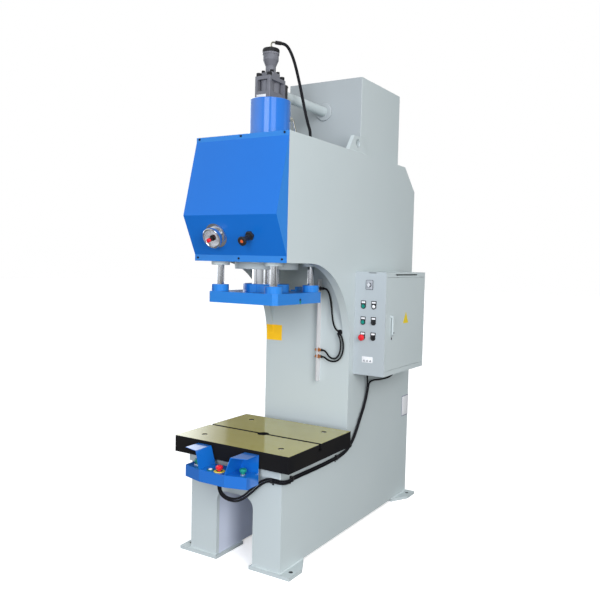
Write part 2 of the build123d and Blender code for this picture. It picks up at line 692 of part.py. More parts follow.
def work_table():
    """The table plate with its T-slot, its knock-out bore and four counterbored bolt holes."""
    half = TABLE_WIDTH / 2
    table = block(-half, half, TABLE_FRONT, TABLE_FRONT + TABLE_LENGTH, SEAT_TOP, TABLE_TOP)
    table = chamfer(table.edges().filter_by(Axis.Z), TABLE_CHAMFER)
    slot_bottom = TABLE_TOP - SLOT_DEPTH
    table -= block(-half, half, AXIS_Y - SLOT_WIDTH / 2, AXIS_Y + SLOT_WIDTH / 2, slot_bottom, TABLE_TOP)
    table -= block(-half, half, AXIS_Y - SLOT_FOOT_WIDTH / 2, AXIS_Y + SLOT_FOOT_WIDTH / 2,
                   slot_bottom, slot_bottom + SLOT_FOOT_DEPTH)
    table -= post(0, AXIS_Y, TABLE_BORE, SEAT_TOP - 1, TABLE_TOP + 1)
    for x, y in table_bolt_places():
        table -= post(x, y, TABLE_BOLT + 2 * BOLT_GAP, SEAT_TOP - 1, TABLE_TOP + 1)
        table -= post(x, y, head_width(TABLE_BOLT) + COUNTERBORE_ROOM, TABLE_BOLT_SEAT, TABLE_TOP + 1)
    return table


def head_width(size):
    """Head diameter of a socket screw by its thread size, as the standard has it."""
    return SCREW_HEAD_RATIO * size


def socket_screw(size, under_head):
    """A socket head screw that stands at the origin with its head's underside at height 0."""
    width = head_width(size)
    socket = extrude(RegularPolygon(size * SCREW_KEY_RATIO, 6), amount=size / 2)
    head = post(0, 0, width, 0, size) - Pos(0, 0, size / 2) * socket
    head = chamfer(head.faces().sort_by(Axis.Z)[-1].outer_wire().edges(), size * SCREW_CHAMFER_RATIO)
    return head + post(0, 0, size - 2 * FIT, -under_head, 0)


def socket_bolts():
    """The screws of the work table, the prefill valve, its actuator and the suction flange."""
    screws = []
    table_screw = socket_screw(TABLE_BOLT, TABLE_BOLT_SEAT - SEAT_TOP + BOLT_IN_SEAT - BOLT_END_GAP)
    for x, y in table_bolt_places():
        screws.append(Pos(x, y, TABLE_BOLT_SEAT) * table_screw)
    valve_screw = socket_screw(VALVE_BOLT, VALVE_HEAD - BOLT_END_GAP)
    for x, y in valve_bolt_places():
        screws.append(Pos(x, y, VALVE_TOP) * valve_screw)
    actuator_screw = socket_screw(ACTUATOR_BOLT, ACTUATOR_FLANGE_HEIGHT + VALVE_HEAD - 2 * BOLT_END_GAP)
    for x, y in actuator_bolt_places():
        screws.append(Pos(x, y, VALVE_TOP + ACTUATOR_FLANGE_HEIGHT) * actuator_screw)
    suction_screw = socket_screw(SUCTION_BOLT, SUCTION_FLANGE_THICK + VALVE_POST - 2 * BOLT_END_GAP)
    for x, z in suction_bolt_places():
        screws.append(Pos(x, VALVE_REAR + SUCTION_FLANGE_THICK, z) * Rot(-90, 0, 0) * suction_screw)
    return Compound(children=screws)


# Head cover

def cover_outline():
    """The folds of the keel-shaped cover seen from the side, from its top edge to its bottom edge."""
    face = FRONT - COVER_SHEET
    return [(face, FRAME_TOP), (face, FRAME_TOP - COVER_FOLD_TOP), (FRONT - COVER_REACH, COVER_CREASE),
            (face, HEAD_BOTTOM + COVER_FOLD_BOTTOM), (face, HEAD_BOTTOM)]


def head_cover():
    """Folded sheet over the front of the head, closed by a triangular cheek at each end."""
    outline = cover_outline()
    shell = side_prism(outline + [(FRONT, HEAD_BOTTOM), (FRONT, FRAME_TOP)], -HALF, HALF)
    top, crease, bottom = outline[1:4]
    reach = COVER_HOLLOW_BACK
    upper = (FRONT + reach, top[1] + reach * (top[1] - crease[1]) / (top[0] - crease[0]))
    lower = (FRONT + reach, bottom[1] - reach * (crease[1] - bottom[1]) / (bottom[0] - crease[0]))
    wedge = make_face(Polyline(upper, crease, lower, close=True))
    inside = offset(wedge, -COVER_SHEET, kind=Kind.INTERSECTION)
    hollow = extrude(Plane.YZ.offset(-HALF + COVER_SHEET) * inside, amount=FRAME_WIDTH - 2 * COVER_SHEET)
    shell -= hollow
    depth = COVER_HOLLOW_BACK
    shell -= panel_plane(GAUGE_X) * post(0, 0, GAUGE_STUB + 2 * PANEL_HOLE_GAP, -depth, depth)
    return shell - panel_plane(THROTTLE_X) * post(0, 0, THROTTLE_REAR + 2 * PANEL_HOLE_GAP, -depth, depth)


def panel_plane(x):
    """A plane on the middle of the cover's lower panel, whose Z points away from the panel."""
    crease, bottom = cover_outline()[2:4]
    rise = crease[1] - bottom[1]
    reach = bottom[0] - crease[0]
    middle = ((crease[0] + bottom[0]) / 2, (crease[1] + bottom[1]) / 2)
    return Plane(origin=(x, *middle), x_dir=(1, 0, 0), z_dir=(0, -rise, -reach))


def gauge_case():
    """Case of the pressure gauge with its panel flange, bezel and hollow dial chamber."""
    dial = GAUGE_DEPTH - GAUGE_DIAL_DEPTH
    seat = GAUGE_DEPTH - 2 * GAUGE_GLASS_THICK
    hub_top = seat - GAUGE_GLASS_THICK - SEATED
    bezel_back = GAUGE_DEPTH - GAUGE_BEZEL_DEPTH
    glass = GAUGE_GLASS / 2
    wall = GAUGE_GLASS_THICK
    case = turned([
        (0, 0), (GAUGE_FLANGE / 2, 0), (GAUGE_FLANGE / 2, GAUGE_FLANGE_RIM),
        (GAUGE_CASE / 2, GAUGE_FLANGE_RIM + wall), (GAUGE_CASE / 2, bezel_back - wall),
        (GAUGE_BEZEL / 2, bezel_back), (GAUGE_BEZEL / 2, GAUGE_DEPTH - wall),
        (GAUGE_BEZEL / 2 - wall, GAUGE_DEPTH),
        (glass, GAUGE_DEPTH), (glass, seat), (glass - wall, seat), (glass - wall, dial),
        (GAUGE_HUB / 2, dial), (GAUGE_HUB / 2, hub_top), (0, hub_top)])
    return panel_plane(GAUGE_X) * (case + post(0, 0, GAUGE_STUB, -GAUGE_STUB_LENGTH, 0))


def gauge_lens():
    seat = GAUGE_DEPTH - GAUGE_GLASS_THICK * 2
    lens = post(0, 0, GAUGE_GLASS, seat, seat + GAUGE_GLASS_THICK)
    lens -= post(0, 0, GAUGE_SPINDLE + 2 * FIT, seat - 1, seat + GAUGE_GLASS_THICK + 1)
    return panel_plane(GAUGE_X) * lens


def gauge_knob():
    """Setting knob in front of the gauge's glass, on a spindle that turns on the hub inside."""
    foot = GAUGE_DEPTH - 3 * GAUGE_GLASS_THICK
    glass = GAUGE_DEPTH - GAUGE_GLASS_THICK + SEATED
    boss, neck, neck_end, tip_start, rim, end = [glass + step for step in GAUGE_KNOB_STEPS]
    spindle, tip = GAUGE_SPINDLE / 2, GAUGE_KNOB_TIP / 2
    knob = turned([
        (0, foot), (spindle, foot), (spindle, glass),
        (GAUGE_KNOB_BOSS / 2, glass), (GAUGE_KNOB_BOSS / 2, boss),
        (GAUGE_KNOB_NECK / 2, neck), (GAUGE_KNOB_NECK / 2, neck_end), (tip, tip_start), (tip, rim),
        (tip - (end - rim), end), (0, end)])
    return panel_plane(GAUGE_X) * knob


def throttle_valve():
    """Throttle cartridge through the cover: lock nut, barrel and stem."""
    nut = extrude(RegularPolygon(THROTTLE_NUT / 2, 6, major_radius=False), amount=THROTTLE_NUT_HEIGHT)
    nut = chamfer(nut.faces().sort_by(Axis.Z)[-1].edges(), FINE_CHAMFER)
    valve = nut + post(0, 0, THROTTLE_BARREL, 0, THROTTLE_BARREL_LENGTH)
    valve += post(0, 0, THROTTLE_STEM, 0, THROTTLE_STEM_LENGTH)
    valve += post(0, 0, THROTTLE_REAR, -THROTTLE_REAR_LENGTH, 0)
    return panel_plane(THROTTLE_X) * valve


def throttle_knob():
    """Flared hand knob with a shallow dish in its front."""
    back = THROTTLE_BARREL_LENGTH + THROTTLE_KNOB_GAP
    front = back + THROTTLE_KNOB_LENGTH
    outer = THROTTLE_KNOB / 2
    hub = THROTTLE_KNOB_HUB / 2
    rim = front - THROTTLE_KNOB_RIM
    flare = THROTTLE_KNOB_FLARE
    floor = front - THROTTLE_DISH_DEPTH
    bore = THROTTLE_STEM / 2 + FIT
    bore_end = THROTTLE_STEM_LENGTH + SEATED
    knob = turned([
        (bore, back), (hub, back), (hub + THROTTLE_KNOB_HUB_TAPER, back + THROTTLE_KNOB_HUB_LENGTH),
        (outer - flare, rim - flare), (outer, rim), (outer, front - FINE_CHAMFER),
        (outer - FINE_CHAMFER, front),
        (THROTTLE_DISH / 2, front), (THROTTLE_DISH / 2 - FINE_CHAMFER, floor), (0, floor),
        (0, bore_end), (bore, bore_end)])
    return panel_plane(THROTTLE_X) * knob


# Cylinder, ram and guides

def main_cylinder():
    """The working cylinder, hung in the head base by its shoulder, with a closed upper end."""
    body = post(0, AXIS_Y, CYLINDER_DIAMETER, HEAD_BOTTOM, CYLINDER_TOP)
    body += post(0, AXIS_Y, CYLINDER_SHOULDER, BASE_TOP, BASE_TOP + SHOULDER_HEIGHT)
    body = chamfer(body.faces().sort_by(Axis.Z)[-1].edges(), TURNED_CHAMFER)
    body -= post(0, AXIS_Y, CYLINDER_BORE, HEAD_BOTTOM - 1, CYLINDER_TOP - CYLINDER_CAP)
    body -= post(0, AXIS_Y, PORT_DIAMETER, CYLINDER_TOP - CYLINDER_CAP - 1, CYLINDER_TOP + 1)
    return body


def cylinder_gland():
    """Ring under the head that closes the cylinder and guides the piston rod."""
    ring = post(0, AXIS_Y, GLAND_DIAMETER, HEAD_BOTTOM - GLAND_HEIGHT, HEAD_BOTTOM)
    ring = chamfer(ring.faces().sort_by(Axis.Z)[0].edges(), TURNED_CHAMFER)
    ring += post(0, AXIS_Y, CYLINDER_BORE, HEAD_BOTTOM, HEAD_BOTTOM + GLAND_SPIGOT)
    return ring - post(0, AXIS_Y, ROD_DIAMETER + 2 * FIT, HEAD_BOTTOM - GLAND_HEIGHT - 1, BASE_TOP + 1)


def piston_rod():
    """Rod and piston turned from one bar, with two ring grooves in the piston."""
    top = CYLINDER_TOP - CYLINDER_CAP - PISTON_TOP_GAP
    bottom = top - PISTON_HEIGHT
    piston = CYLINDER_BORE / 2 - FIT
    groove = piston - PISTON_GROOVE_DEPTH
    rod = ROD_DIAMETER / 2
    outline = [(0, PLATEN_TOP), (rod, PLATEN_TOP), (rod, bottom)]
    for start in (bottom + PISTON_LAND, top - PISTON_LAND - PISTON_GROOVE):
        end = start + PISTON_GROOVE
        outline += [(piston, outline[-1][1]), (piston, start), (groove, start), (groove, end)]
    outline += [(piston, outline[-1][1]), (piston, top - PISTON_CHAMFER),
                (piston - PISTON_CHAMFER, top), (0, top)]
    return Pos(0, AXIS_Y, 0) * turned(outline)


def platen():
    """Ram plate with cut corners, a shank hole below and its clamp screw hole in the right side."""
    half_x, half_y = PLATEN_WIDTH / 2, PLATEN_LENGTH / 2
    plate = block(-half_x, half_x, AXIS_Y - half_y, AXIS_Y + half_y, PLATEN_BOTTOM, PLATEN_TOP)
    plate = chamfer(plate.edges().filter_by(Axis.Z), PLATEN_CORNER)
    plate -= post(0, AXIS_Y, SHANK_HOLE, PLATEN_BOTTOM - 1, PLATEN_BOTTOM + SHANK_DEPTH)
    plate -= bar_along_x(0, half_x + 1, AXIS_Y, PLATEN_BOTTOM + SHANK_DEPTH / 2, SHANK_SCREW)
    for x, y in GUIDE_PLACES:
        plate -= post(x, y, GUIDE_ROD, PLATEN_TOP - GUIDE_IN_PLATEN, PLATEN_TOP + 1)
    return plate


def ram_flange():
    ring = post(0, AXIS_Y, RAM_FLANGE_DIAMETER, PLATEN_TOP, PLATEN_TOP + RAM_FLANGE_HEIGHT)
    ring = chamfer(ring.faces().sort_by(Axis.Z)[-1].edges(), TURNED_CHAMFER)
    return ring - post(0, AXIS_Y, ROD_DIAMETER, PLATEN_TOP - 1, PLATEN_TOP + RAM_FLANGE_HEIGHT + 1)


def guide_rods():
    """Four guide rods, long enough to stay in their bushes at the bottom of the stroke."""
    bottom = PLATEN_TOP - GUIDE_IN_PLATEN
    top = HEAD_BOTTOM + BUSH_LENGTH + RAM_STROKE + BUSH_TO_ROD_TOP
    rods = []
    for x, y in GUIDE_PLACES:
        rod = post(x, y, GUIDE_ROD, bottom, top)
        rods.append(chamfer(rod.faces().sort_by(Axis.Z)[-1].edges(), TURNED_CHAMFER))
    return Compound(children=rods)


def guide_collars():
    """Four split collars that clamp the guide rods on top of the platen."""
    collars = []
    for x, y in GUIDE_PLACES:
        collar = post(x, y, COLLAR_DIAMETER, PLATEN_TOP, PLATEN_TOP + COLLAR_HEIGHT)
        collar = chamfer(collar.faces().sort_by(Axis.Z)[-1].edges(), FINE_CHAMFER)
        collar -= post(x, y, GUIDE_ROD, PLATEN_TOP - 1, PLATEN_TOP + COLLAR_HEIGHT + 1)
        half_slit = COLLAR_SLIT / 2
        slit = block(0, COLLAR_DIAMETER, -half_slit, half_slit, PLATEN_TOP, PLATEN_TOP + COLLAR_HEIGHT)
        inward = math.degrees(math.atan2(AXIS_Y - y, -x))
        collars.append(collar - Pos(x, y, 0) * Rot(0, 0, inward) * slit)
    return Compound(children=collars)


def guide_bushes():
    """Four flanged guide bushes, pushed up into the head base from below."""
    bushes = []
    for x, y in GUIDE_PLACES:
        bush = post(x, y, BUSH_FLANGE, HEAD_BOTTOM - BUSH_FLANGE_HEIGHT, HEAD_BOTTOM)
        bush = chamfer(bush.faces().sort_by(Axis.Z)[0].edges(), FINE_CHAMFER)
        bush += post(x, y, BUSH_BODY, HEAD_BOTTOM, HEAD_BOTTOM + BUSH_LENGTH)
        bore = GUIDE_ROD + 2 * FIT
        bush -= post(x, y, bore, HEAD_BOTTOM - BUSH_FLANGE_HEIGHT - 1, HEAD_BOTTOM + BUSH_LENGTH + 1)
        bushes.append(bush)
    return Compound(children=bushes)


# Prefill valve and suction line

def four_corners(x, y):
    """The four corners of a rectangle about the origin, from its half sizes."""
    return [(a * x, b * y) for a in (-1, 1) for b in (-1, 1)]


def valve_bolt_places():
    corners = four_corners(VALVE_WIDTH / 2 - VALVE_BOLT_EDGE, VALVE_LENGTH / 2 - VALVE_BOLT_EDGE)
    return [(x, AXIS_Y + y) for x, y in corners]


def actuator_bolt_places():
    reach = ACTUATOR_FLANGE / 2 - ACTUATOR_BOLT_EDGE
    return [(x, AXIS_Y + y) for x, y in four_corners(reach, reach)]


def suction_bolt_places():
    reach = SUCTION_FLANGE / 2 - SUCTION_BOLT_EDGE
    return [(x, SUCTION_Z + z) for x, z in four_corners(reach, reach)]


def prefill_valve():
    """Cast valve body: foot, head, corner posts and a closed left wall round the two valve barrels."""
    half_x, half_y = VALVE_WIDTH / 2, VALVE_LENGTH / 2
    low, high = CYLINDER_TOP + VALVE_FOOT, VALVE_TOP - VALVE_HEAD
    body = block(-half_x, half_x, AXIS_Y - half_y, AXIS_Y + half_y, CYLINDER_TOP, VALVE_TOP)
    body = fillet(body.edges().filter_by(Axis.Z), VALVE_ROUND)
    inner_x, inner_y = half_x - VALVE_POST, half_y - VALVE_POST
    side_window = block(-inner_x, half_x + 1, AXIS_Y - inner_y, AXIS_Y + inner_y, low, high)
    front_window = block(-inner_x, inner_x, AXIS_Y - half_y - 1, AXIS_Y + inner_y, low, high)
    body -= side_window + front_window
    core_y = (VALVE_CORE_LENGTH - VALVE_CORE) / 2
    for y in (AXIS_Y - core_y, AXIS_Y + core_y):
        body += post(0, y, VALVE_CORE, low, high)
    body += block(-VALVE_CORE_WAIST / 2, VALVE_CORE_WAIST / 2, AXIS_Y - core_y, AXIS_Y + core_y, low, high)
    body -= bar_along_y(0, AXIS_Y + inner_y - 1, VALVE_REAR + 1, SUCTION_Z, SUCTION_PIPE - 2 * SUCTION_WALL)
    for x, y in valve_bolt_places():
        body -= post(x, y, VALVE_BOLT, VALVE_TOP - VALVE_HEAD + VALVE_HOLE_FLOOR, VALVE_TOP + 1)
    for x, y in actuator_bolt_places():
        body -= post(x, y, ACTUATOR_BOLT, VALVE_TOP - VALVE_HEAD + 2 * VALVE_HOLE_FLOOR, VALVE_TOP + 1)
    for x, z in suction_bolt_places():
        floor = VALVE_REAR - VALVE_POST + 2 * VALVE_HOLE_FLOOR
        body -= bar_along_y(x, floor, VALVE_REAR + 1, z, SUCTION_BOLT)
    return body


def valve_actuator():
    """Actuator casting on the valve: square flange, neck, cone and cylinder."""
    half = ACTUATOR_FLANGE / 2
    flange = block(-half, half, AXIS_Y - half, AXIS_Y + half, VALVE_TOP, VALVE_TOP + ACTUATOR_FLANGE_HEIGHT)
    flange = fillet(flange.edges().filter_by(Axis.Z), ACTUATOR_ROUND)
    for x, y in actuator_bolt_places():
        flange -= post(x, y, ACTUATOR_BOLT + BOLT_GAP, VALVE_TOP - 1, VALVE_TOP + ACTUATOR_FLANGE_HEIGHT + 1)
    neck = ACTUATOR_FLANGE_HEIGHT + NECK_HEIGHT
    cone = neck + CONE_HEIGHT
    body = cone + ACTUATOR_BODY_HEIGHT
    stem = turned([(0, 0), (ACTUATOR_NECK / 2, 0), (ACTUATOR_NECK / 2, neck), (ACTUATOR_BODY / 2, cone),
                   (ACTUATOR_BODY / 2, body), (0, body)])
    return flange + Pos(0, AXIS_Y, VALVE_TOP) * stem


def actuator_cap():
    cap = post(0, AXIS_Y, CAP_DIAMETER, CAP_TOP - CAP_HEIGHT, CAP_TOP)
    cap = fillet(cap.faces().sort_by(Axis.Z)[-1].edges(), CAP_ROUND)
    low = CAP_TOP - CAP_HEIGHT + CAP_GROOVE_UP
    high = low + CAP_GROOVE
    groove = post(0, AXIS_Y, CAP_DIAMETER + 1, low, high)
    groove -= post(0, AXIS_Y, CAP_DIAMETER - 2 * CAP_GROOVE_DEPTH, low - 1, high + 1)
    return cap - groove


def heading_vector(degrees):
    """A level direction, turned from straight back toward the right."""
    angle = math.radians(degrees)
    return Vector(math.sin(angle), math.cos(angle), 0)


def bent_tube(points, radius, diameter):
    """A metal tube through its points, bent to one radius."""
    path = FilletPolyline(*points, radius=radius)
    return sweep(Plane(origin=path @ 0, z_dir=path % 0) * Circle(diameter / 2), path=path)


def hex_nut(width, height):
    return extrude(RegularPolygon(width / 2, 6, major_radius=False), amount=height)


def hose_ferrule(start, direction):
    end = Plane(origin=start, z_dir=direction) * Circle(FERRULE_DIAMETER / 2)
    ferrule = extrude(end, amount=FERRULE_LENGTH)
    return chamfer(ferrule.edges(), FERRULE_CHAMFER)


def pilot_elbow():
    """Elbow that rises from the actuator's cap and turns level toward the hose."""
    ahead = heading_vector(HOSE_HEADING)
    foot = Vector(0, AXIS_Y, CAP_TOP)
    knee = Vector(0, AXIS_Y, ELBOW_TOP)
    elbow = bent_tube([foot, knee, knee + ahead * (ELBOW_RADIUS + ELBOW_RUN)], ELBOW_RADIUS, ELBOW_TUBE)
    return elbow + Pos(0, AXIS_Y, CAP_TOP) * hex_nut(ELBOW_NUT, ELBOW_NUT_HEIGHT)


def return_pipe():
    """Small steel pipe from a port in the cylinder's side, bent down to a union on the deck."""
    ahead = heading_vector(RETURN_HEADING)
    wall = Vector(0, AXIS_Y, RETURN_PORT_Z) + ahead * (CYLINDER_DIAMETER / 2)
    knee = wall + ahead * RETURN_OUT
    landing = knee + ahead * RETURN_REACH
    landing = Vector(landing.X, landing.Y, FRAME_TOP + RETURN_TUBE / 2)
    pipe = bent_tube([wall, knee, landing], RETURN_BEND, RETURN_TUBE)
    pipe += Plane(origin=wall, z_dir=ahead) * hex_nut(UNION_WIDTH, UNION_LENGTH)
    pipe += Pos(landing.X, landing.Y, FRAME_TOP) * hex_nut(UNION_WIDTH, UNION_LENGTH)
    return pipe - post(0, AXIS_Y, CYLINDER_DIAMETER, FRAME_TOP, CYLINDER_TOP)


def pipe_fittings():
    """Elbow, ferrules and deck fitting of the pilot line, and the return pipe beside the cylinder."""
    ahead = heading_vector(HOSE_HEADING)
    upper_start = Vector(0, AXIS_Y, ELBOW_TOP) + ahead * (ELBOW_RADIUS + ELBOW_RUN)
    hose_x, hose_y, _ = hose_points()[-1]
    fitting_top = FRAME_TOP + HOSE_FITTING_HEIGHT
    deck_fitting = Pos(hose_x, hose_y, FRAME_TOP) * hex_nut(HOSE_FITTING_WIDTH, HOSE_FITTING_HEIGHT)
    lower = hose_ferrule(Vector(hose_x, hose_y, fitting_top), Vector(0, 0, 1))
    pieces = [pilot_elbow(), hose_ferrule(upper_start, ahead), deck_fitting, lower, return_pipe()]
    return Compound(children=pieces)


def hose_points():
    """The pilot hose's points in the press, worked out from its own upright plane."""
    ahead = heading_vector(HOSE_HEADING)
    points = [(out, ELBOW_TOP + z) for out, z in HOSE_FROM_ELBOW]
    points += [(out, FRAME_TOP + z) for out, z in HOSE_FROM_DECK]
    return [(out * ahead.X, AXIS_Y + out * ahead.Y, z) for out, z in points]


def suction_pipe():
    """Pipe from the prefill valve back to the tank, with its bolted flange welded on."""
    half = SUCTION_FLANGE / 2
    flange_end = VALVE_REAR + SUCTION_FLANGE_THICK
    low = CYLINDER_TOP + SEATED
    flange = block(-half, half, VALVE_REAR, flange_end, low, SUCTION_Z + half)
    flange = fillet(flange.edges().filter_by(Axis.Y), SUCTION_ROUND)
    for x, z in suction_bolt_places():
        flange -= bar_along_y(x, VALVE_REAR - 1, flange_end + 1, z, SUCTION_BOLT + BOLT_GAP)
    pipe = bar_along_y(0, VALVE_REAR, TANK_FRONT, SUCTION_Z, SUCTION_PIPE)
    solid = flange + pipe
    return solid - bar_along_y(0, VALVE_REAR - 1, TANK_FRONT + 1, SUCTION_Z, SUCTION_PIPE - 2 * SUCTION_WALL)


def oil_tank():
    """Welded tank on the deck, hollow, with a raised collar where the suction pipe enters."""
    half = TANK_WIDTH / 2
    rear = TANK_FRONT + TANK_LENGTH
    top = FRAME_TOP + TANK_HEIGHT
    tank = block(-half, half, TANK_FRONT, rear, FRAME_TOP, top)
    tank = fillet(tank.edges().filter_by(Axis.Z), TANK_ROUND)
    wall = TANK_WALL
    tank -= block(-half + wall, half - wall, TANK_FRONT + wall, rear - wall, FRAME_TOP + wall, top - wall)
    collar = bar_along_y(0, TANK_FRONT - TANK_COLLAR_THICK, TANK_FRONT, SUCTION_Z, TANK_COLLAR)
    collar = fillet(collar.faces().sort_by(Axis.Y)[0].edges(), TANK_COLLAR_ROUND)
    collar -= bar_along_y(0, TANK_FRONT - TANK_COLLAR_THICK - 1, TANK_FRONT + 1, SUCTION_Z, SUCTION_PIPE)
    bore = bar_along_y(0, TANK_FRONT - 1, TANK_FRONT + wall + 1, SUCTION_Z, SUCTION_PIPE - 2 * SUCTION_WALL)
    return tank + collar - bore


def lifting_lugs():
    """A lifting lug on the top edge of each side plate, beside the tank."""
    y0 = FRONT + LUG_FROM_FRONT
    y1 = y0 + LUG_LENGTH
    slant = (LUG_LENGTH - LUG_TOP_LENGTH) / 2
    top = FRAME_TOP + LUG_HEIGHT
    outline = [(y0, FRAME_TOP), (y1, FRAME_TOP), (y1 - slant, top), (y0 + slant, top)]
    middle = HALF - SIDE_PLATE / 2
    lug = side_prism(outline, middle - LUG_THICKNESS / 2, middle + LUG_THICKNESS / 2)
    hole_z = top - LUG_HOLE / 2 - LUG_HOLE_FROM_TOP
    lug -= bar_along_x(middle - LUG_THICKNESS, middle + LUG_THICKNESS, (y0 + y1) / 2, hole_z, LUG_HOLE)
    return Compound(children=[lug, mirror(lug, about=Plane.YZ)])


# Sensor rail

def sensor_rail():
    """Angle strip on the column: one leg lies on the web, the other holds the three switches."""
    edge = COLUMN_FRONT - RAIL_LEG
    foot_face = COLUMN_FRONT - RAIL_SHEET
    foot_x = RAIL_X - RAIL_FOOT
    leg_x = RAIL_X - RAIL_SHEET
    outline = [(RAIL_X, COLUMN_FRONT), (foot_x, COLUMN_FRONT), (foot_x, foot_face), (leg_x, foot_face),
               (leg_x, edge), (RAIL_X, edge)]
    rail = plan_prism(outline, RAIL_BOTTOM, RAIL_TOP)
    for z in SENSOR_HEIGHTS:
        rail -= bar_along_x(RAIL_X - RAIL_SHEET - 1, RAIL_X + 1, SENSOR_Y, z, SENSOR_DIAMETER)
    return rail


def sensors():
    """Three proximity switches, each held in the rail by two nuts."""
    switches = []
    for z in SENSOR_HEIGHTS:
        switch = bar_along_x(SENSOR_NOSE, SENSOR_NOSE + SENSOR_LENGTH, SENSOR_Y, z, SENSOR_DIAMETER)
        switch = chamfer(switch.edges().filter_by(GeomType.CIRCLE), SENSOR_CHAMFER)
        for x in (RAIL_X - RAIL_SHEET - SENSOR_NUT_HEIGHT, RAIL_X):
            switch += Pos(x, SENSOR_Y, z) * Rot(0, 90, 0) * hex_nut(SENSOR_NUT, SENSOR_NUT_HEIGHT)
        switches.append(switch)
    return Compound(children=switches)


def trip_bracket():
    """Bent flag on the platen that passes the noses of the switches."""
    x1 = SENSOR_NOSE - FLAG_GAP
    x0 = x1 - FLAG_THICKNESS
    rear = AXIS_Y + PLATEN_LENGTH / 2
    foot_end = rear - FLAG_FROM_EDGE
    foot_start = foot_end - FLAG_FOOT_LENGTH
    flag_end = COLUMN_FRONT - FLAG_SIDE_GAP
    flag = block(x0, x1, foot_start, flag_end, PLATEN_TOP, PLATEN_TOP + FLAG_HEIGHT)
    foot = block(x1 - FLAG_FOOT_WIDTH, x1, foot_start, foot_end, PLATEN_TOP, PLATEN_TOP + FLAG_THICKNESS)
    return flag + foot


def lead_run(lead, index):
    """Middle and direction of one straight run of a lead."""
    start, end = Vector(*lead[index]), Vector(*lead[index + 1])
    return (start + end) / 2, (end - start).normalized()


def round_lead(lead, index, diameter, length):
    """A round bar about the middle of one run of a lead."""
    middle, direction = lead_run(lead, index)
    return Plane(origin=middle, z_dir=direction) * Cylinder(diameter / 2, length)


def lead_clip(index, foot_origin, outward):
    """Clip round both leads at one run, with a tab that is screwed flat on the steel."""
    outer = LEAD_DIAMETER + 2 * CLIP_WALL
    _, direction = lead_run(FRONT_LEAD, index)
    upper, _ = lead_run(FRONT_LEAD, index)
    lower, _ = lead_run(REAR_LEAD, index)
    middle = (upper + lower) / 2
    foot = Plane(origin=foot_origin(middle), x_dir=direction, z_dir=outward)
    stand = abs((middle - foot.origin).dot(Vector(*outward)))
    size = (upper - lower).length + outer
    on_foot = (Align.CENTER, Align.CENTER, Align.MIN)
    bridge = foot * Box(CLIP_LENGTH, size, stand, align=on_foot)
    tab = foot * Pos(0, -size / 2 - CLIP_TAB_DROP, 0) * Box(CLIP_LENGTH, CLIP_TAB, CLIP_WALL, align=on_foot)
    clip = bridge + tab
    for lead in (FRONT_LEAD, REAR_LEAD):
        clip += round_lead(lead, index, outer, CLIP_LENGTH)
    for lead in (FRONT_LEAD, REAR_LEAD):
        clip -= round_lead(lead, index, LEAD_DIAMETER + 2 * SEATED, CLIP_LENGTH * 3)
    return clip


def lead_tie():
    """Tie that binds the two leads where they part."""
    width = LEAD_DIAMETER + 2 * TIE_THICK
    tie = round_lead(FRONT_LEAD, TIE_INDEX, width, TIE_WIDTH)
    tie += round_lead(REAR_LEAD, TIE_INDEX, width, TIE_WIDTH)
    for lead in (FRONT_LEAD, REAR_LEAD):
        tie -= round_lead(lead, TIE_INDEX, LEAD_DIAMETER + 2 * SEATED, TIE_WIDTH * 3)
    return tie


def lead_glands():
    """Glands under the console and under the enclosure, where the leads begin and end."""
    glands = []
    for lead in (FRONT_LEAD, REAR_LEAD):
        x, y, z = lead[0]
        glands.append(post(x, y, LEAD_SLEEVE, z, CONSOLE_BOTTOM))
        x, y, z = lead[-1]
        glands.append(Pos(x, y, z) * hex_nut(LEAD_GLAND, BOX_BOTTOM - z))
    return glands


def cable_fixings():
    """Clips, tie and glands of the leads, and the grommet of the switch cables."""
    grommet = bar_along_y(GROMMET_X, COLUMN_FRONT - GROMMET_THICK, COLUMN_FRONT, GROMMET_Z, GROMMET)
    front = lead_clip(FRONT_CLIP_INDEX, lambda p: (p.X, FRONT, p.Z), (0, -1, 0))
    sides = [lead_clip(index, lambda p: (HALF, p.Y, p.Z), (1, 0, 0)) for index in SIDE_CLIP_INDEXES]
    return Compound(children=[grommet, front, lead_tie()] + sides + lead_glands())


# Enclosure

def enclosure():
    """Sheet steel box with a door opening, hinge pins, two slots and holes for its controls."""
    shell = block(HALF, BOX_SIDE, BOX_FRONT, BOX_REAR, BOX_BOTTOM, BOX_TOP)
    s = BOX_SHEET
    shell -= block(HALF + s, BOX_SIDE - s, BOX_FRONT + s, BOX_REAR - s, BOX_BOTTOM + s, BOX_TOP - s)
    y0, y1, z0, z1 = door_opening()
    shell -= block(BOX_SIDE - s - 1, BOX_SIDE + 1, y0, y1, z0, z1)
    vent_y, vent_z = (y0 + y1) / 2, (z1 + BOX_TOP) / 2
    shell -= block(BOX_SIDE - s - 1, BOX_SIDE + 1, vent_y - VENT_LENGTH / 2, vent_y + VENT_LENGTH / 2,
                   vent_z - VENT_HEIGHT / 2, vent_z + VENT_HEIGHT / 2)
    vent_x = HALF + FRONT_VENT_X
    shell -= block(vent_x - FRONT_VENT / 2, vent_x + FRONT_VENT / 2, BOX_FRONT - 1, BOX_FRONT + s + 1,
                   BOX_TOP - s - VENT_HEIGHT / 2, BOX_TOP - s)
    for x, z in button_places() + [(HALF + SWITCH_X, SWITCH_Z)]:
        shell -= bar_along_y(x, BOX_FRONT - 1, BOX_FRONT + s + 1, z, 2 * BUTTON_STEM_HOLE)
    shell -= bar_along_x(HALF - 1, HALF + s + 1, lead_entry_y(), BOX_BOTTOM + BOX_HEIGHT / 2, LEAD_GLAND * 2)
    return shell + hinge_bracket(z1, 1) + hinge_bracket(z0, -1)


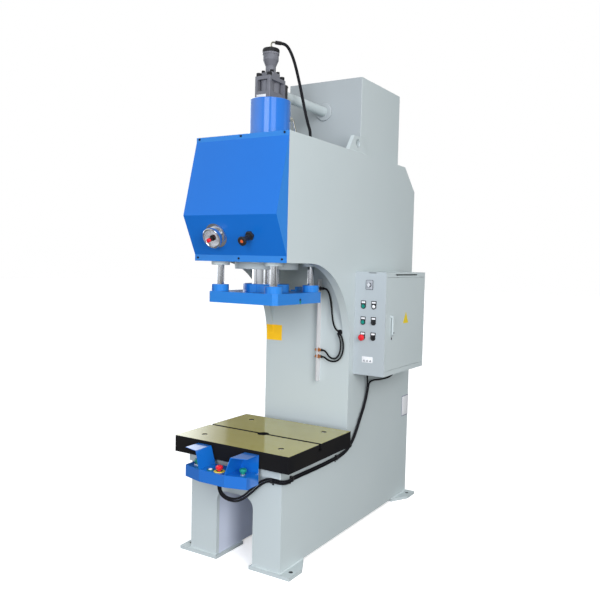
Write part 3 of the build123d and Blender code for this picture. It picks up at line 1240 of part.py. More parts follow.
def hinge_place():
    """Plan position of the door's concealed hinge pins."""
    return BOX_SIDE - HINGE_BACK, door_opening()[1] - HINGE_IN


def hinge_bracket(edge_z, up):
    """Bracket behind the rim of the door opening, with the pin that the door turns on."""
    x, y = hinge_place()
    reach = 2 * HINGE_BACK
    z0, z1 = sorted((edge_z, edge_z + up * HINGE_BRACKET))
    bracket = block(BOX_SIDE - reach, BOX_SIDE - BOX_SHEET, y - HINGE_BACK, y + HINGE_BACK, z0, z1)
    z0, z1 = sorted((edge_z - up * (DOOR_GAP + DOOR_SHEET + HINGE_PIN_END), edge_z))
    return bracket + post(x, y, HINGE_PIN, z0, z1)


def door_opening():
    """Edges of the door opening along Y and Z."""
    return (BOX_FRONT + DOOR_SIDE_RIM, BOX_REAR - DOOR_SIDE_RIM,
            BOX_BOTTOM + DOOR_END_RIM, BOX_TOP - DOOR_END_RIM)


def enclosure_door():
    """Door with folded edges, flush in its opening, with its hinge holes and lock plate."""
    y0, y1, z0, z1 = door_opening()
    g, f, t = DOOR_GAP, DOOR_FOLD, DOOR_SHEET
    door = block(BOX_SIDE - f, BOX_SIDE, y0 + g, y1 - g, z0 + g, z1 - g)
    door -= block(BOX_SIDE - f - 1, BOX_SIDE - t, y0 + g + t, y1 - g - t, z0 + g + t, z1 - g - t)
    x, y = hinge_place()
    return door - post(x, y, HINGE_PIN + 2 * FIT, z0, z1) + handle_seat()


def handle_place():
    """Middle of the door handle's pin, near the top of the handle."""
    y = door_opening()[0] + HANDLE_FROM_EDGE
    return y, HANDLE_BOTTOM + HANDLE_LENGTH - HANDLE_PIN_DROP


def handle_seat():
    """Fixed lock plate on the door, with two ears that hold the lever's pin."""
    y, pin_z = handle_place()
    w = HANDLE_WIDTH / 2
    side = w + EAR_THICK
    plate = block(BOX_SIDE, BOX_SIDE + LOCK_PLATE, y - side, y + side, HANDLE_BOTTOM - LOCK_MARGIN,
                  HANDLE_BOTTOM + HANDLE_LENGTH + LOCK_MARGIN)
    ear_top = BOX_SIDE + HANDLE_STAND + HANDLE_THICK
    ears = [block(BOX_SIDE, ear_top, y0, y0 + EAR_THICK, pin_z - HANDLE_PIN, pin_z + HANDLE_PIN)
            for y0 in (y - side, y + w)]
    pin = bar_along_y(0, y - side, y + side, 0, HANDLE_PIN)
    pin = Pos(BOX_SIDE + HANDLE_STAND + HANDLE_THICK / 2, 0, pin_z) * pin
    return plate + ears[0] + ears[1] + pin


def door_handle():
    """Lever that folds flat on the door and swings out on the pin at its upper end."""
    y, pin_z = handle_place()
    w = HANDLE_WIDTH / 2
    x0 = BOX_SIDE + HANDLE_STAND
    lever_top = HANDLE_BOTTOM + HANDLE_LENGTH
    lever = block(x0, x0 + HANDLE_THICK, y - w + SEATED, y + w - SEATED, HANDLE_BOTTOM, lever_top)
    lever = fillet(lever.edges().filter_by(Axis.X), HANDLE_ROUND)
    pin_hole = bar_along_y(x0 + HANDLE_THICK / 2, y - w, y + w, pin_z, HANDLE_PIN + 2 * FIT)
    return lever - pin_hole


def button_places():
    """Middles of the six controls on the enclosure's front, row by row."""
    return [(HALF + x, z) for z in BUTTON_ROWS for x in BUTTON_COLUMNS]


def on_box_front(x, z, piece):
    """Turns a control that was built upright so that it stands on the enclosure's front."""
    return Pos(x, BOX_FRONT, z) * Rot(90, 0, 0) * piece


def push_button():
    """Flush push button: stem through the panel and a cap just above its bezel."""
    stem = BUTTON_STEM / 2
    return turned([(0, -STEM_BEHIND), (stem, -STEM_BEHIND), (stem, PUSH_PROUD - BUTTON_CHAMFER),
                   (stem - BUTTON_CHAMFER, PUSH_PROUD),
                   (0, PUSH_PROUD)])


def mushroom_button():
    """Mushroom head on a stem that runs through the panel."""
    stem, head = BUTTON_STEM / 2, MUSHROOM / 2
    rim = MUSHROOM_NECK + MUSHROOM_RIM
    dome = rim + MUSHROOM_RIM_HEIGHT
    crown = dome + MUSHROOM_CROWN_HEIGHT
    return turned([
        (0, -STEM_BEHIND), (stem, -STEM_BEHIND), (stem, MUSHROOM_NECK),
        (head - FINE_CHAMFER, MUSHROOM_NECK + FINE_CHAMFER), (head, rim), (head, dome),
        (head - MUSHROOM_EDGE, dome + MUSHROOM_EDGE_HEIGHT), (head - MUSHROOM_DOME, crown),
        (0, dome + MUSHROOM_DOME)])


def selector_knob():
    """Rotary selector: a round base and a raised grip across it."""
    on_base = (Align.CENTER, Align.CENTER, Align.MIN)
    base = post(0, 0, BUTTON_STEM, -STEM_BEHIND, SELECTOR_BASE)
    grip = Box(SELECTOR_GRIP, SELECTOR_GRIP_LENGTH, SELECTOR_GRIP_HEIGHT, align=on_base)
    grip = Pos(0, 0, SELECTOR_BASE) * grip
    return base + fillet(grip.edges().filter_by(Axis.X).group_by(Axis.Z)[-1], SELECTOR_ROUND)


def lamp_lens():
    stem = BUTTON_STEM / 2
    return turned([(0, -STEM_BEHIND), (stem, -STEM_BEHIND), (stem, LAMP_SHOULDER),
                   (stem - LAMP_TAPER, LAMP_PROUD - LAMP_CROWN), (0, LAMP_PROUD)])


def switch_knob():
    """Main switch: a round hub behind a square grip that stands on its corner."""
    on_hub = (Align.CENTER, Align.CENTER, Align.MIN)
    grip = Rot(0, 0, 45) * Box(SWITCH_GRIP, SWITCH_GRIP, SWITCH_GRIP_HEIGHT, align=on_hub)
    return post(0, 0, BUTTON_STEM, -STEM_BEHIND, SWITCH_HUB) + Pos(0, 0, SWITCH_HUB) * grip


def bezel():
    ring = post(0, 0, BUTTON_BEZEL, 0, BEZEL_HEIGHT)
    ring = chamfer(ring.faces().sort_by(Axis.Z)[-1].edges(), BEZEL_CHAMFER)
    return ring - post(0, 0, 2 * BUTTON_STEM_HOLE, -1, BEZEL_HEIGHT + 1)


def legend_bezel():
    """Bezel of the enclosure's controls, moulded with a legend plate above the control."""
    half = LEGEND_WIDTH / 2
    edge = BUTTON_BEZEL / 2 - LEGEND_OVERLAP
    legend = block(-half, half, edge - LEGEND_OVERLAP, edge + LEGEND_HEIGHT, 0, LEGEND_THICKNESS)
    return bezel() + legend - post(0, 0, 2 * BUTTON_STEM_HOLE, -1, BEZEL_HEIGHT + 1)


def switch_plate():
    half_x, half_y = SWITCH_PLATE_WIDTH / 2, SWITCH_PLATE_HEIGHT / 2
    plate = block(-half_x, half_x, -half_y, half_y, 0, BEZEL_HEIGHT)
    plate = fillet(plate.edges().filter_by(Axis.Z), SWITCH_PLATE_ROUND)
    return plate - post(0, 0, 2 * BUTTON_STEM_HOLE, -1, BEZEL_HEIGHT + 1)


def button_bezels():
    """Every fixed bezel of the enclosure and the console."""
    bezels = [on_box_front(x, z, legend_bezel()) for x, z in button_places()]
    bezels.append(on_box_front(HALF + SWITCH_X, SWITCH_Z, switch_plate()))
    bezels += [Pos(x, y, CONSOLE_TOP) * bezel() for x, y in console_controls().values()]
    return Compound(children=bezels)


# Console

def console_outline(shrink):
    """Plan of the console: straight back, ends, and a front that bows out in three facets."""
    half = CONSOLE_WIDTH / 2 - shrink
    rear = FRONT - CONSOLE_REAR - shrink
    ends = FRONT - CONSOLE_ENDS + shrink
    bow = FRONT - CONSOLE_BOW + shrink
    bow_half = BOW_WIDTH / 2
    return [(-half, rear), (-half, ends), (-bow_half, bow), (bow_half, bow), (half, ends), (half, rear)]


def console_controls():
    """Middles of the four controls in the console's top."""
    return {
        "palm_button_left": (-PALM_X, FRONT - PALM_FROM_FRONT),
        "palm_button_right": (PALM_X, FRONT - PALM_FROM_FRONT),
        "console_stop": (CONSOLE_STOP_X, FRONT - CONSOLE_STOP_FROM_FRONT),
        "console_button": (CONSOLE_BUTTON_X, FRONT - CONSOLE_BUTTON_FROM_FRONT),
    }


def guard_section(sheet, right):
    """Section of the right guard seen from the front, less its sheet, out to a right-hand edge."""
    left_top = CONSOLE_WIDTH / 2 - GUARD_TOP_WIDTH + sheet
    left_foot = BOW_WIDTH / 2 + sheet
    top = GUARD_TOP - sheet
    return [(left_foot, CONSOLE_TOP), (left_top, top), (right, top), (right, CONSOLE_TOP)]


def palm_guard():
    """Hood over a palm button: inner cheek, roof and back, open to the front and to the outer end."""
    front, rear = FRONT - CONSOLE_BOW, FRONT - CONSOLE_REAR
    end = CONSOLE_WIDTH / 2
    hood = front_prism(guard_section(0, end), front, rear)
    hood -= front_prism(guard_section(CONSOLE_SHEET, end + 1), front - 1, rear - CONSOLE_SHEET)
    return hood & plan_prism(console_outline(0), CONSOLE_TOP - 1, GUARD_TOP + 1)


def console():
    """Sheet housing with two palm guards and the bracket that bolts it to the leg plate."""
    box = plan_prism(console_outline(0), CONSOLE_BOTTOM, CONSOLE_TOP)
    inside = console_outline(CONSOLE_SHEET)
    box -= plan_prism(inside, CONSOLE_BOTTOM + CONSOLE_SHEET, CONSOLE_TOP - CONSOLE_SHEET)
    guard = palm_guard()
    box += guard + mirror(guard, about=Plane.YZ)
    half = BRACKET_WIDTH / 2
    t = BRACKET_PLATE
    rear = FRONT - CONSOLE_REAR
    box += block(-half, half, rear, FRONT, CONSOLE_BOTTOM, CONSOLE_BOTTOM + t)
    box += block(-half, half, FRONT - t, FRONT, CONSOLE_BOTTOM - BRACKET_DROP, CONSOLE_BOTTOM)
    gusset_outline = [(rear, CONSOLE_BOTTOM), (FRONT - t, CONSOLE_BOTTOM),
                      (FRONT - t, CONSOLE_BOTTOM - BRACKET_DROP)]
    gusset = side_prism(gusset_outline, half - t, half)
    box += gusset + mirror(gusset, about=Plane.YZ)
    for x, y in console_controls().values():
        box -= post(x, y, 2 * BUTTON_STEM_HOLE, CONSOLE_TOP - CONSOLE_SHEET - 1, CONSOLE_TOP + 1)
    return box


def console_piece(name, piece):
    x, y = console_controls()[name]
    return Pos(x, y, CONSOLE_TOP) * piece


# Power unit

def power_unit():
    """Motor, bell housing and pump on a plate on the tunnel, with the valve block beside them."""
    y = FRONT + UNIT_FROM_FRONT
    z = LINER_TOP
    half = MOTOR_DIAMETER / 2 + UNIT_PLATE_LIP
    plate = block(-half, half, y - half, y + half, z, z + UNIT_PLATE)
    foot = z + UNIT_PLATE
    inside = foot + BELL_HEIGHT - BELL_WALL
    bell = post(0, y, BELL_DIAMETER, foot, foot + BELL_HEIGHT)
    bell -= post(0, y, BELL_DIAMETER - 2 * BELL_WALL, foot, inside)
    pump = post(0, y, PUMP_DIAMETER, foot, inside)
    motor = post(0, y, MOTOR_DIAMETER, foot + BELL_HEIGHT, foot + BELL_HEIGHT + MOTOR_HEIGHT)
    motor = fillet(motor.faces().sort_by(Axis.Z)[-1].edges(), MOTOR_EDGE)
    block_rear = y - half - BLOCK_GAP
    valves = block(-half, -half + BLOCK_LENGTH, block_rear - BLOCK_LENGTH, block_rear, z, z + BLOCK_LENGTH)
    return Compound(children=[plate, bell, pump, motor, valves])


# Every piece of the press by its node's name

PIECES = {
    "side_plate_left": side_plate(-1),
    "side_plate_right": side_plate(1),
    "leg_front_plate": leg_front_plate(),
    "tunnel_liner": tunnel_liner(),
    "head_base": head_base(),
    "column_web": column_web(),
    "rear_plate": rear_plate(),
    "top_deck": top_deck(),
    "seat_plate": seat_plate(),
    "foot_plates": foot_plates(),
    "work_table": work_table(),
    "socket_bolts": socket_bolts(),
    "head_cover": head_cover(),
    "gauge_case": gauge_case(),
    "gauge_lens": gauge_lens(),
    "gauge_knob": gauge_knob(),
    "throttle_valve": throttle_valve(),
    "throttle_knob": throttle_knob(),
    "main_cylinder": main_cylinder(),
    "cylinder_gland": cylinder_gland(),
    "piston_rod": piston_rod(),
    "platen": platen(),
    "ram_flange": ram_flange(),
    "guide_rods": guide_rods(),
    "guide_collars": guide_collars(),
    "guide_bushes": guide_bushes(),
    "prefill_valve": prefill_valve(),
    "valve_actuator": valve_actuator(),
    "actuator_cap": actuator_cap(),
    "pipe_fittings": pipe_fittings(),
    "pilot_hose": cord("pilot_hose", hose_points(), HOSE_DIAMETER),
    "suction_pipe": suction_pipe(),
    "oil_tank": oil_tank(),
    "lifting_lugs": lifting_lugs(),
    "sensor_rail": sensor_rail(),
    "sensors": sensors(),
    "sensor_cable_upper": cord("sensor_cable_upper", UPPER_CABLE, SENSOR_CABLE),
    "sensor_cable_middle": cord("sensor_cable_middle", MIDDLE_CABLE, SENSOR_CABLE),
    "sensor_cable_lower": cord("sensor_cable_lower", LOWER_CABLE, SENSOR_CABLE),
    "trip_bracket": trip_bracket(),
    "enclosure": enclosure(),
    "enclosure_door": enclosure_door(),
    "door_handle": door_handle(),
    "button_bezels": button_bezels(),
    "start_button": on_box_front(*button_places()[0], push_button()),
    "box_lamp": on_box_front(*button_places()[1], lamp_lens()),
    "run_button": on_box_front(*button_places()[2], push_button()),
    "selector_upper": on_box_front(*button_places()[3], selector_knob()),
    "box_stop_button": on_box_front(*button_places()[4], mushroom_button()),
    "selector_lower": on_box_front(*button_places()[5], selector_knob()),
    "main_switch": on_box_front(HALF + SWITCH_X, SWITCH_Z, switch_knob()),
    "console": console(),
    "palm_button_left": console_piece("palm_button_left", mushroom_button()),
    "palm_button_right": console_piece("palm_button_right", mushroom_button()),
    "console_stop": console_piece("console_stop", mushroom_button()),
    "console_button": console_piece("console_button", push_button()),
    "console_lead_front": cord("console_lead_front", FRONT_LEAD, LEAD_DIAMETER),
    "console_lead_rear": cord("console_lead_rear", REAR_LEAD, LEAD_DIAMETER),
    "cable_fixings": cable_fixings(),
    "power_unit": power_unit(),
}

os.makedirs("parts", exist_ok=True)
for name, piece in PIECES.items():
    export_step(piece, f"parts/{name}.step")
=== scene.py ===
import math

import bmesh
import bpy
from mathutils import Matrix, Vector


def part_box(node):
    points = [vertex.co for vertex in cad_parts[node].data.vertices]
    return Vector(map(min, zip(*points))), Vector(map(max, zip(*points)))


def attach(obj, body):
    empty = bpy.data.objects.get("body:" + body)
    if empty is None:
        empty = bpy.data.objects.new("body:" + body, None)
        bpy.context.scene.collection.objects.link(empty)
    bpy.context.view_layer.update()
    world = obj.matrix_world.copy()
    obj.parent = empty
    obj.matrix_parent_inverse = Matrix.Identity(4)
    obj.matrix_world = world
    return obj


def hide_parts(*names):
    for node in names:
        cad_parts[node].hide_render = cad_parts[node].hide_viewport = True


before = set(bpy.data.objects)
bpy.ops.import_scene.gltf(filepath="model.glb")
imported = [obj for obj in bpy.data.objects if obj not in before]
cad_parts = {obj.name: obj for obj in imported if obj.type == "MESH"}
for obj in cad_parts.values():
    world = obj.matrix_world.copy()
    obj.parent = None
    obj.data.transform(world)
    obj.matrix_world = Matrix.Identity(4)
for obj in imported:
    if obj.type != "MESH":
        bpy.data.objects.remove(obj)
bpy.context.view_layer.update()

# The camera stands at eye height, in front of the press and to its right, at the photograph's viewing angle.
# Its turn, tilt and lens come from the press's own straight edges.
EYE = (2.3146, -3.8749, 1.7130)
EYE_TURN, EYE_TILT, EYE_ROLL = 30.916, -3.218, 1.416
LENS, FILM_WIDTH = 41.166, 36.0
LENS_SHIFT = (-0.02569, 0.00107)
FARTHEST_SEEN = 60.0
bpy.ops.object.select_all(action="DESELECT")
bpy.ops.object.camera_add()
camera = bpy.context.object
camera.name = "camera"
camera.data.sensor_width = FILM_WIDTH
camera.data.lens = LENS
camera.data.shift_x, camera.data.shift_y = LENS_SHIFT
camera.data.clip_end = FARTHEST_SEEN
turn = Matrix.Rotation(math.radians(EYE_TURN), 4, "Z")
tilt = Matrix.Rotation(math.radians(90 + EYE_TILT), 4, "X")
roll = Matrix.Rotation(math.radians(EYE_ROLL), 4, "Z")
camera.matrix_world = Matrix.Translation(EYE) @ turn @ tilt @ roll
scene = bpy.context.scene
scene.camera = camera
scene.view_settings.view_transform = "Standard"

# The studio is a wide white floor under a sky that is brightest overhead. Gloss and bright metal mirror a dim
# room in its place: a pale wall behind the press, windows at its right and front, and soft light from above
# and from the left.
SKY_HORIZON, SKY_ZENITH = 0.26, 1.00
BEHIND, LEFT_HAND, OVERHEAD = (-0.514, 0.858, 0.0), (-0.858, -0.514, 0.0), (0.0, 0.0, 1.0)
SIDE_WINDOW, FRONT_WINDOW, RIGHT_WINDOW = (0.768, 0.641, 0.0), (0.300, -0.933, 0.200), (0.800, -0.566, 0.200)
ROOM_DIM = 0.26
world = bpy.data.worlds.new("studio_sky")
scene.world = world
world.use_nodes = True
sky_tree = world.node_tree
heading = sky_tree.nodes.new("ShaderNodeTexCoord").outputs["Generated"]


def vector_step(tree, operation, vector, other=(0.0, 0.0, 0.0)):
    """A vector or a number worked out from a node's vector and a fixed one."""
    step = tree.nodes.new("ShaderNodeVectorMath")
    step.operation = operation
    step.inputs[1].default_value = other
    tree.links.new(vector, step.inputs[0])
    return step.outputs["Value" if operation in ("DOT_PRODUCT", "DISTANCE") else "Vector"]


def combine(tree, operation, first, second):
    """One number from two, each a plain number or another node's output."""
    step = tree.nodes.new("ShaderNodeMath")
    step.operation = operation
    for socket, value in zip(step.inputs, (first, second)):
        if isinstance(value, float):
            socket.default_value = value
        else:
            tree.links.new(value, socket)
    return step.outputs[0]


def spread(tree, source, low, high, from_low=0.3, from_high=0.7, kind="LINEAR"):
    """Spreads a number, such as a noise, over a range of values."""
    ranged = tree.nodes.new("ShaderNodeMapRange")
    ranged.interpolation_type = kind
    for label, value in (("From Min", from_low), ("From Max", from_high), ("To Min", low), ("To Max", high)):
        ranged.inputs[label].default_value = value
    tree.links.new(source, ranged.inputs["Value"])
    return ranged.outputs["Result"]


def toward(direction, start, full, dark, bright, kind="SMOOTHSTEP"):
    """A light that grows as a ray nears a direction."""
    nearness = vector_step(sky_tree, "DOT_PRODUCT", heading, direction)
    return spread(sky_tree, nearness, dark, bright, start, full, kind)


sky = sky_tree.nodes["Background"]
room = sky_tree.nodes.new("ShaderNodeBackground")
backdrop = sky_tree.nodes.new("ShaderNodeBackground")
for seen, tint in ((sky, (0.95, 0.98, 1.0)), (room, (0.92, 0.97, 1.0)), (backdrop, (1.0, 1.0, 1.0))):
    seen.inputs["Color"].default_value = (*tint, 1.0)
sky_tree.links.new(toward(OVERHEAD, 0.0, 1.0, SKY_HORIZON, SKY_ZENITH, "LINEAR"), sky.inputs["Strength"])
pale_wall = combine(sky_tree, "ADD", toward(LEFT_HAND, 0.116, 0.128, 0.0, 0.35),
                    toward(LEFT_HAND, 0.12, 0.21, 0.0, 2.20))
pale_wall = combine(sky_tree, "MULTIPLY", pale_wall, toward(BEHIND, 0.50, 0.70, 0.0, 1.0))
room_light = toward(SIDE_WINDOW, 0.97, 0.995, ROOM_DIM, 0.80)
for light in ((OVERHEAD, 0.55, 0.90, 0.0, 0.5), (FRONT_WINDOW, 0.962, 0.985, 0.0, 1.9),
              (RIGHT_WINDOW, 0.962, 0.985, 0.0, 1.0), (LEFT_HAND, 0.30, 0.95, 0.0, 0.65)):
    room_light = combine(sky_tree, "ADD", room_light, toward(*light))
sky_tree.links.new(combine(sky_tree, "ADD", pale_wall, room_light), room.inputs["Strength"])
ray = sky_tree.nodes.new("ShaderNodeLightPath")
for ray_kind, seen in (("Is Glossy Ray", room), ("Is Transmission Ray", backdrop),
                       ("Is Camera Ray", backdrop)):
    either = sky_tree.nodes.new("ShaderNodeMixShader")
    sky_tree.links.new(ray.outputs[ray_kind], either.inputs["Fac"])
    sky_tree.links.new(sky.outputs[0], either.inputs[1])
    sky_tree.links.new(seen.outputs[0], either.inputs[2])
    sky = either
sky_tree.links.new(sky.outputs[0], sky_tree.nodes["World Output"].inputs["Surface"])

# Two tall soft lamps light the paint from the front and from the right. Gloss doesn't show them, because the
# room's front and right windows stand in the same directions.
LAMP_AIM = Vector((0, -0.4, 1.5))
for name, place, power, size, tint in (
        ("lamp_front", (2.47, -7.55, 2.1), 368, (2.4, 4.6), (0.90, 0.92, 1.0)),
        ("lamp_right", (5.60, -4.20, 3.0), 358, (2.7, 4.6), (1.0, 0.995, 0.995))):
    bpy.ops.object.light_add(type="AREA", location=place)
    lamp = bpy.context.object
    lamp.name = name
    lamp.data.shape = "RECTANGLE"
    lamp.data.energy = power
    lamp.data.size, lamp.data.size_y = size
    lamp.data.color = tint
    lamp.visible_glossy = False
    lamp.rotation_euler = (LAMP_AIM - Vector(place)).to_track_quat("-Z", "Y").to_euler()

# The floor is painted white, with black discs painted on it under the four foot holes as painted shade. Only
# the
# camera sees it white and faintly glowing: other rays find it dark, so little light comes back up from it.
FLOOR_SIZE = 80
FLOOR_GLOW, FLOOR_WHITE, FLOOR_BOUNCE = 0.50, 0.90, 0.16
ANCHOR, HOLE_SHADE_RADIUS = (0.353, 0.790, 0.0), 0.020


def level_distance(tree, place, spot):
    """How far a place lies from the upright line through a spot."""
    level = vector_step(tree, "MULTIPLY", place, (1.0, 1.0, 0.0))
    return vector_step(tree, "DISTANCE", level, spot)


def anchor_distance(tree):
    """How far a point lies from the axis of the nearest of the four anchor holes."""
    place = tree.nodes.new("ShaderNodeTexCoord").outputs["Object"]
    return level_distance(tree, vector_step(tree, "ABSOLUTE", place), ANCHOR)


bpy.ops.mesh.primitive_plane_add(size=FLOOR_SIZE, location=(0, 0, 0))
floor = bpy.context.object
floor.name = "studio_floor"
floor_paint = bpy.data.materials.new("studio_floor")
floor_paint.use_nodes = True
tree = floor_paint.node_tree
shader = tree.nodes["Principled BSDF"]
shader.inputs["Roughness"].default_value = 0.9
shader.inputs["Specular IOR Level"].default_value = 0.1
shader.inputs["Emission Color"].default_value = (1.0, 1.0, 1.0, 1.0)
in_view = tree.nodes.new("ShaderNodeLightPath").outputs["Is Camera Ray"]
# Black discs under the four foot holes are painted shade, where the floor shows through the holes.
off_hole_shade = combine(tree, "GREATER_THAN", anchor_distance(tree), HOLE_SHADE_RADIUS)
glow = combine(tree, "MULTIPLY", combine(tree, "MULTIPLY", in_view, FLOOR_GLOW), off_hole_shade)
tree.links.new(glow, shader.inputs["Emission Strength"])
white = combine(tree, "ADD", combine(tree, "MULTIPLY", in_view, FLOOR_WHITE - FLOOR_BOUNCE), FLOOR_BOUNCE)
tree.links.new(combine(tree, "MULTIPLY", white, off_hole_shade), shader.inputs["Base Color"])
floor.data.materials.append(floor_paint)

# The frame is flame-cut plate, 50 mm thick at the sides, welded up with a web, a deck, a bent rear plate
# and a tunnel liner, then filled and sprayed in a light grey enamel with a fine orange peel. The tunnel liner
# is given a paler, bluer copy of that enamel as painted light in the shaded arch. The front sheets of the tank
# and the enclosure are painted a darker grey as painted shade, and the walls of the foot holes near black as
# painted shade.
GREY, GREY_SHADE = (0.484, 0.540, 0.546), (0.464, 0.524, 0.532)
LINER_PAINTED_LIGHT, LINER_PAINTED_LIGHT_DRIFT = (0.56, 0.61, 0.72), (0.53, 0.58, 0.69)
TANK_FRONT, ABOVE_DECK, TANK_FRONT_SHADE = 0.0462, 2.0, (0.350, 0.385, 0.398)
BOX_FRONT, BOX_FRONT_SHADE = -0.0515, (0.390, 0.435, 0.458)
FOOT_HOLE, HOLE_PAINTED_SHADE = 0.0125, (0.05, 0.055, 0.06)


def object_noise(tree, scale, detail=4.0, stretch=(1.0, 1.0, 1.0)):
    """Noise that is fixed to a piece, optionally drawn out along one of its directions."""
    place = tree.nodes.new("ShaderNodeTexCoord")
    mapping = tree.nodes.new("ShaderNodeMapping")
    mapping.inputs["Scale"].default_value = stretch
    noise = tree.nodes.new("ShaderNodeTexNoise")
    noise.inputs["Scale"].default_value = scale
    noise.inputs["Detail"].default_value = detail
    tree.links.new(place.outputs["Object"], mapping.inputs["Vector"])
    tree.links.new(mapping.outputs["Vector"], noise.inputs["Vector"])
    return noise.outputs["Fac"]


def along(tree, axis, reading="Object"):
    """The X, Y or Z of a point on the piece, or of its normal."""
    place = tree.nodes.new("ShaderNodeTexCoord")
    parts = tree.nodes.new("ShaderNodeSeparateXYZ")
    tree.links.new(place.outputs[reading], parts.inputs["Vector"])
    return parts.outputs[axis]


def blend_colours(tree, amount, first, second):
    """Mixes two colours, each a plain colour or another node's output, by an amount."""
    mix = tree.nodes.new("ShaderNodeMix")
    mix.data_type = "RGBA"
    tree.links.new(amount, mix.inputs["Factor"])
    for socket, colour in ((mix.inputs[6], first), (mix.inputs[7], second)):
        if isinstance(colour, tuple):
            socket.default_value = (*colour, 1.0)
        else:
            tree.links.new(colour, socket)
    return mix.outputs[2]


def set_relief(tree, shader, source, strength, depth):
    """Gives a finish a fine relief."""
    relief = tree.nodes.new("ShaderNodeBump")
    relief.inputs["Strength"].default_value = strength
    relief.inputs["Distance"].default_value = depth
    tree.links.new(source, relief.inputs["Height"])
    tree.links.new(relief.outputs["Normal"], shader.inputs["Normal"])


def new_finish(name, colour, shade, roughness, metallic=0.0, drift=1.6, grain=60.0, stretch=(1.0, 1.0, 1.0),
               bump=0.0003, uneven=0.05, specular=0.5, coat=0.0, coat_roughness=0.1):
    """A finish whose colour drifts slowly, with a fine grain in its gloss and a fine relief."""
    finish = bpy.data.materials.new(name)
    finish.use_nodes = True
    tree = finish.node_tree
    shader = tree.nodes["Principled BSDF"]
    for label, value in (("Metallic", metallic), ("Specular IOR Level", specular), ("Coat Weight", coat),
                         ("Coat Roughness", coat_roughness)):
        shader.inputs[label].default_value = value
    slow = object_noise(tree, drift, 3.0)
    fine = object_noise(tree, grain, 5.0, stretch)
    colour_out = blend_colours(tree, spread(tree, slow, 0.0, 1.0), colour, shade)
    tree.links.new(colour_out, shader.inputs["Base Color"])
    tree.links.new(spread(tree, fine, roughness - uneven, roughness + uneven), shader.inputs["Roughness"])
    set_relief(tree, shader, fine, 0.25, bump)
    return finish


def grey_paint(name, roughness=0.42):
    """The frame's light grey enamel."""
    return new_finish(name, GREY, GREY_SHADE, roughness, grain=260.0, bump=0.0002, specular=0.35)


def paint_zone(finish, mask, colour, metallic=None):
    """Paints a second colour over the zone of a finish where the mask is one."""
    tree = finish.node_tree
    shader = tree.nodes["Principled BSDF"]
    under = shader.inputs["Base Color"].links[0].from_socket
    tree.links.new(blend_colours(tree, mask, under, colour), shader.inputs["Base Color"])
    if metallic is not None:
        level = shader.inputs["Metallic"].default_value
        tree.links.new(spread(tree, mask, level, metallic, 0.0, 1.0), shader.inputs["Metallic"])


def coat_nodes(finish, *nodes):
    """Gives carried-over solids their finish."""
    for node in nodes:
        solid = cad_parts[node]
        solid.data.materials.clear()
        solid.data.materials.append(finish)


grey_enamel = grey_paint("grey_enamel")
coat_nodes(grey_enamel, "side_plate_left", "side_plate_right", "leg_front_plate", "head_base", "column_web",
           "rear_plate", "top_deck", "seat_plate", "cylinder_gland", "guide_bushes", "lifting_lugs",
           "enclosure_door")
# The tunnel liner's paler, bluer enamel is painted light in the shaded arch.
coat_nodes(new_finish("tunnel_painted_light_enamel", LINER_PAINTED_LIGHT, LINER_PAINTED_LIGHT_DRIFT, 0.45, grain=260.0, bump=0.0002, specular=0.3),
           "tunnel_liner")
front_sheet_shaded_paint = grey_paint("front_sheet_shaded_paint")
tree = front_sheet_shaded_paint.node_tree
# The tank's front sheet above the deck and the enclosure's front are painted a darker grey as painted shade.
tank_front_shade_mask = combine(tree, "MULTIPLY", combine(tree, "GREATER_THAN", along(tree, "Z"), ABOVE_DECK),
                     combine(tree, "LESS_THAN", along(tree, "Y"), TANK_FRONT))
paint_zone(front_sheet_shaded_paint, tank_front_shade_mask, TANK_FRONT_SHADE)
paint_zone(front_sheet_shaded_paint, combine(tree, "LESS_THAN", along(tree, "Y"), BOX_FRONT), BOX_FRONT_SHADE)
coat_nodes(front_sheet_shaded_paint, "oil_tank", "enclosure")
foot_enamel_hole_shade = grey_paint("foot_enamel_hole_shade")
tree = foot_enamel_hole_shade.node_tree
# The walls of the foot holes are painted near black as painted shade inside the holes.
paint_zone(foot_enamel_hole_shade, combine(tree, "LESS_THAN", anchor_distance(tree), FOOT_HOLE), HOLE_PAINTED_SHADE)
coat_nodes(foot_enamel_hole_shade, "foot_plates")

# Fillet welds join the feet, the tank and the lifting lugs to the frame. Each run is a row of overlapping
# ripples, laid by hand and painted over with the frame.
WELD_RIPPLE = 0.0055
WELD_RUNS = (
    ("foot_welds", 0.007, (
        ((-0.315, -0.8415, 0.021), (-0.127, -0.8415, 0.021)),
        ((0.127, -0.8415, 0.021), (0.315, -0.8415, 0.021)),
        ((0.3165, -0.840, 0.021), (0.3165, -0.598, 0.021)),
        ((-0.3165, -0.840, 0.021), (-0.3165, -0.598, 0.021)),
        ((0.3165, 0.598, 0.021), (0.3165, 0.840, 0.021)),
        ((-0.3165, 0.598, 0.021), (-0.3165, 0.840, 0.021)))),
    ("tank_welds", 0.006, (
        ((-0.272, 0.0435, 2.401), (0.272, 0.0435, 2.401)), ((0.2735, 0.045, 2.401), (0.2735, 0.628, 2.401)),
        ((-0.2735, 0.045, 2.401), (-0.2735, 0.628, 2.401)))),
    ("lug_welds", 0.007, (
        ((0.304, -0.164, 2.401), (0.304, 0.072, 2.401)), ((-0.304, -0.164, 2.401), (-0.304, 0.072, 2.401)),
        ((0.276, -0.164, 2.401), (0.276, 0.040, 2.401)), ((-0.276, -0.164, 2.401), (-0.276, 0.040, 2.401)))),
)


def add_shape(kind, name, scale=(1, 1, 1), **sizes):
    """Adds one primitive with nothing else selected, with its place and scale in its mesh."""
    bpy.ops.object.select_all(action="DESELECT")
    getattr(bpy.ops.mesh, "primitive_" + kind + "_add")(**sizes)
    piece = bpy.context.object
    piece.name = name
    piece.scale = scale
    bpy.ops.object.transform_apply()
    return piece


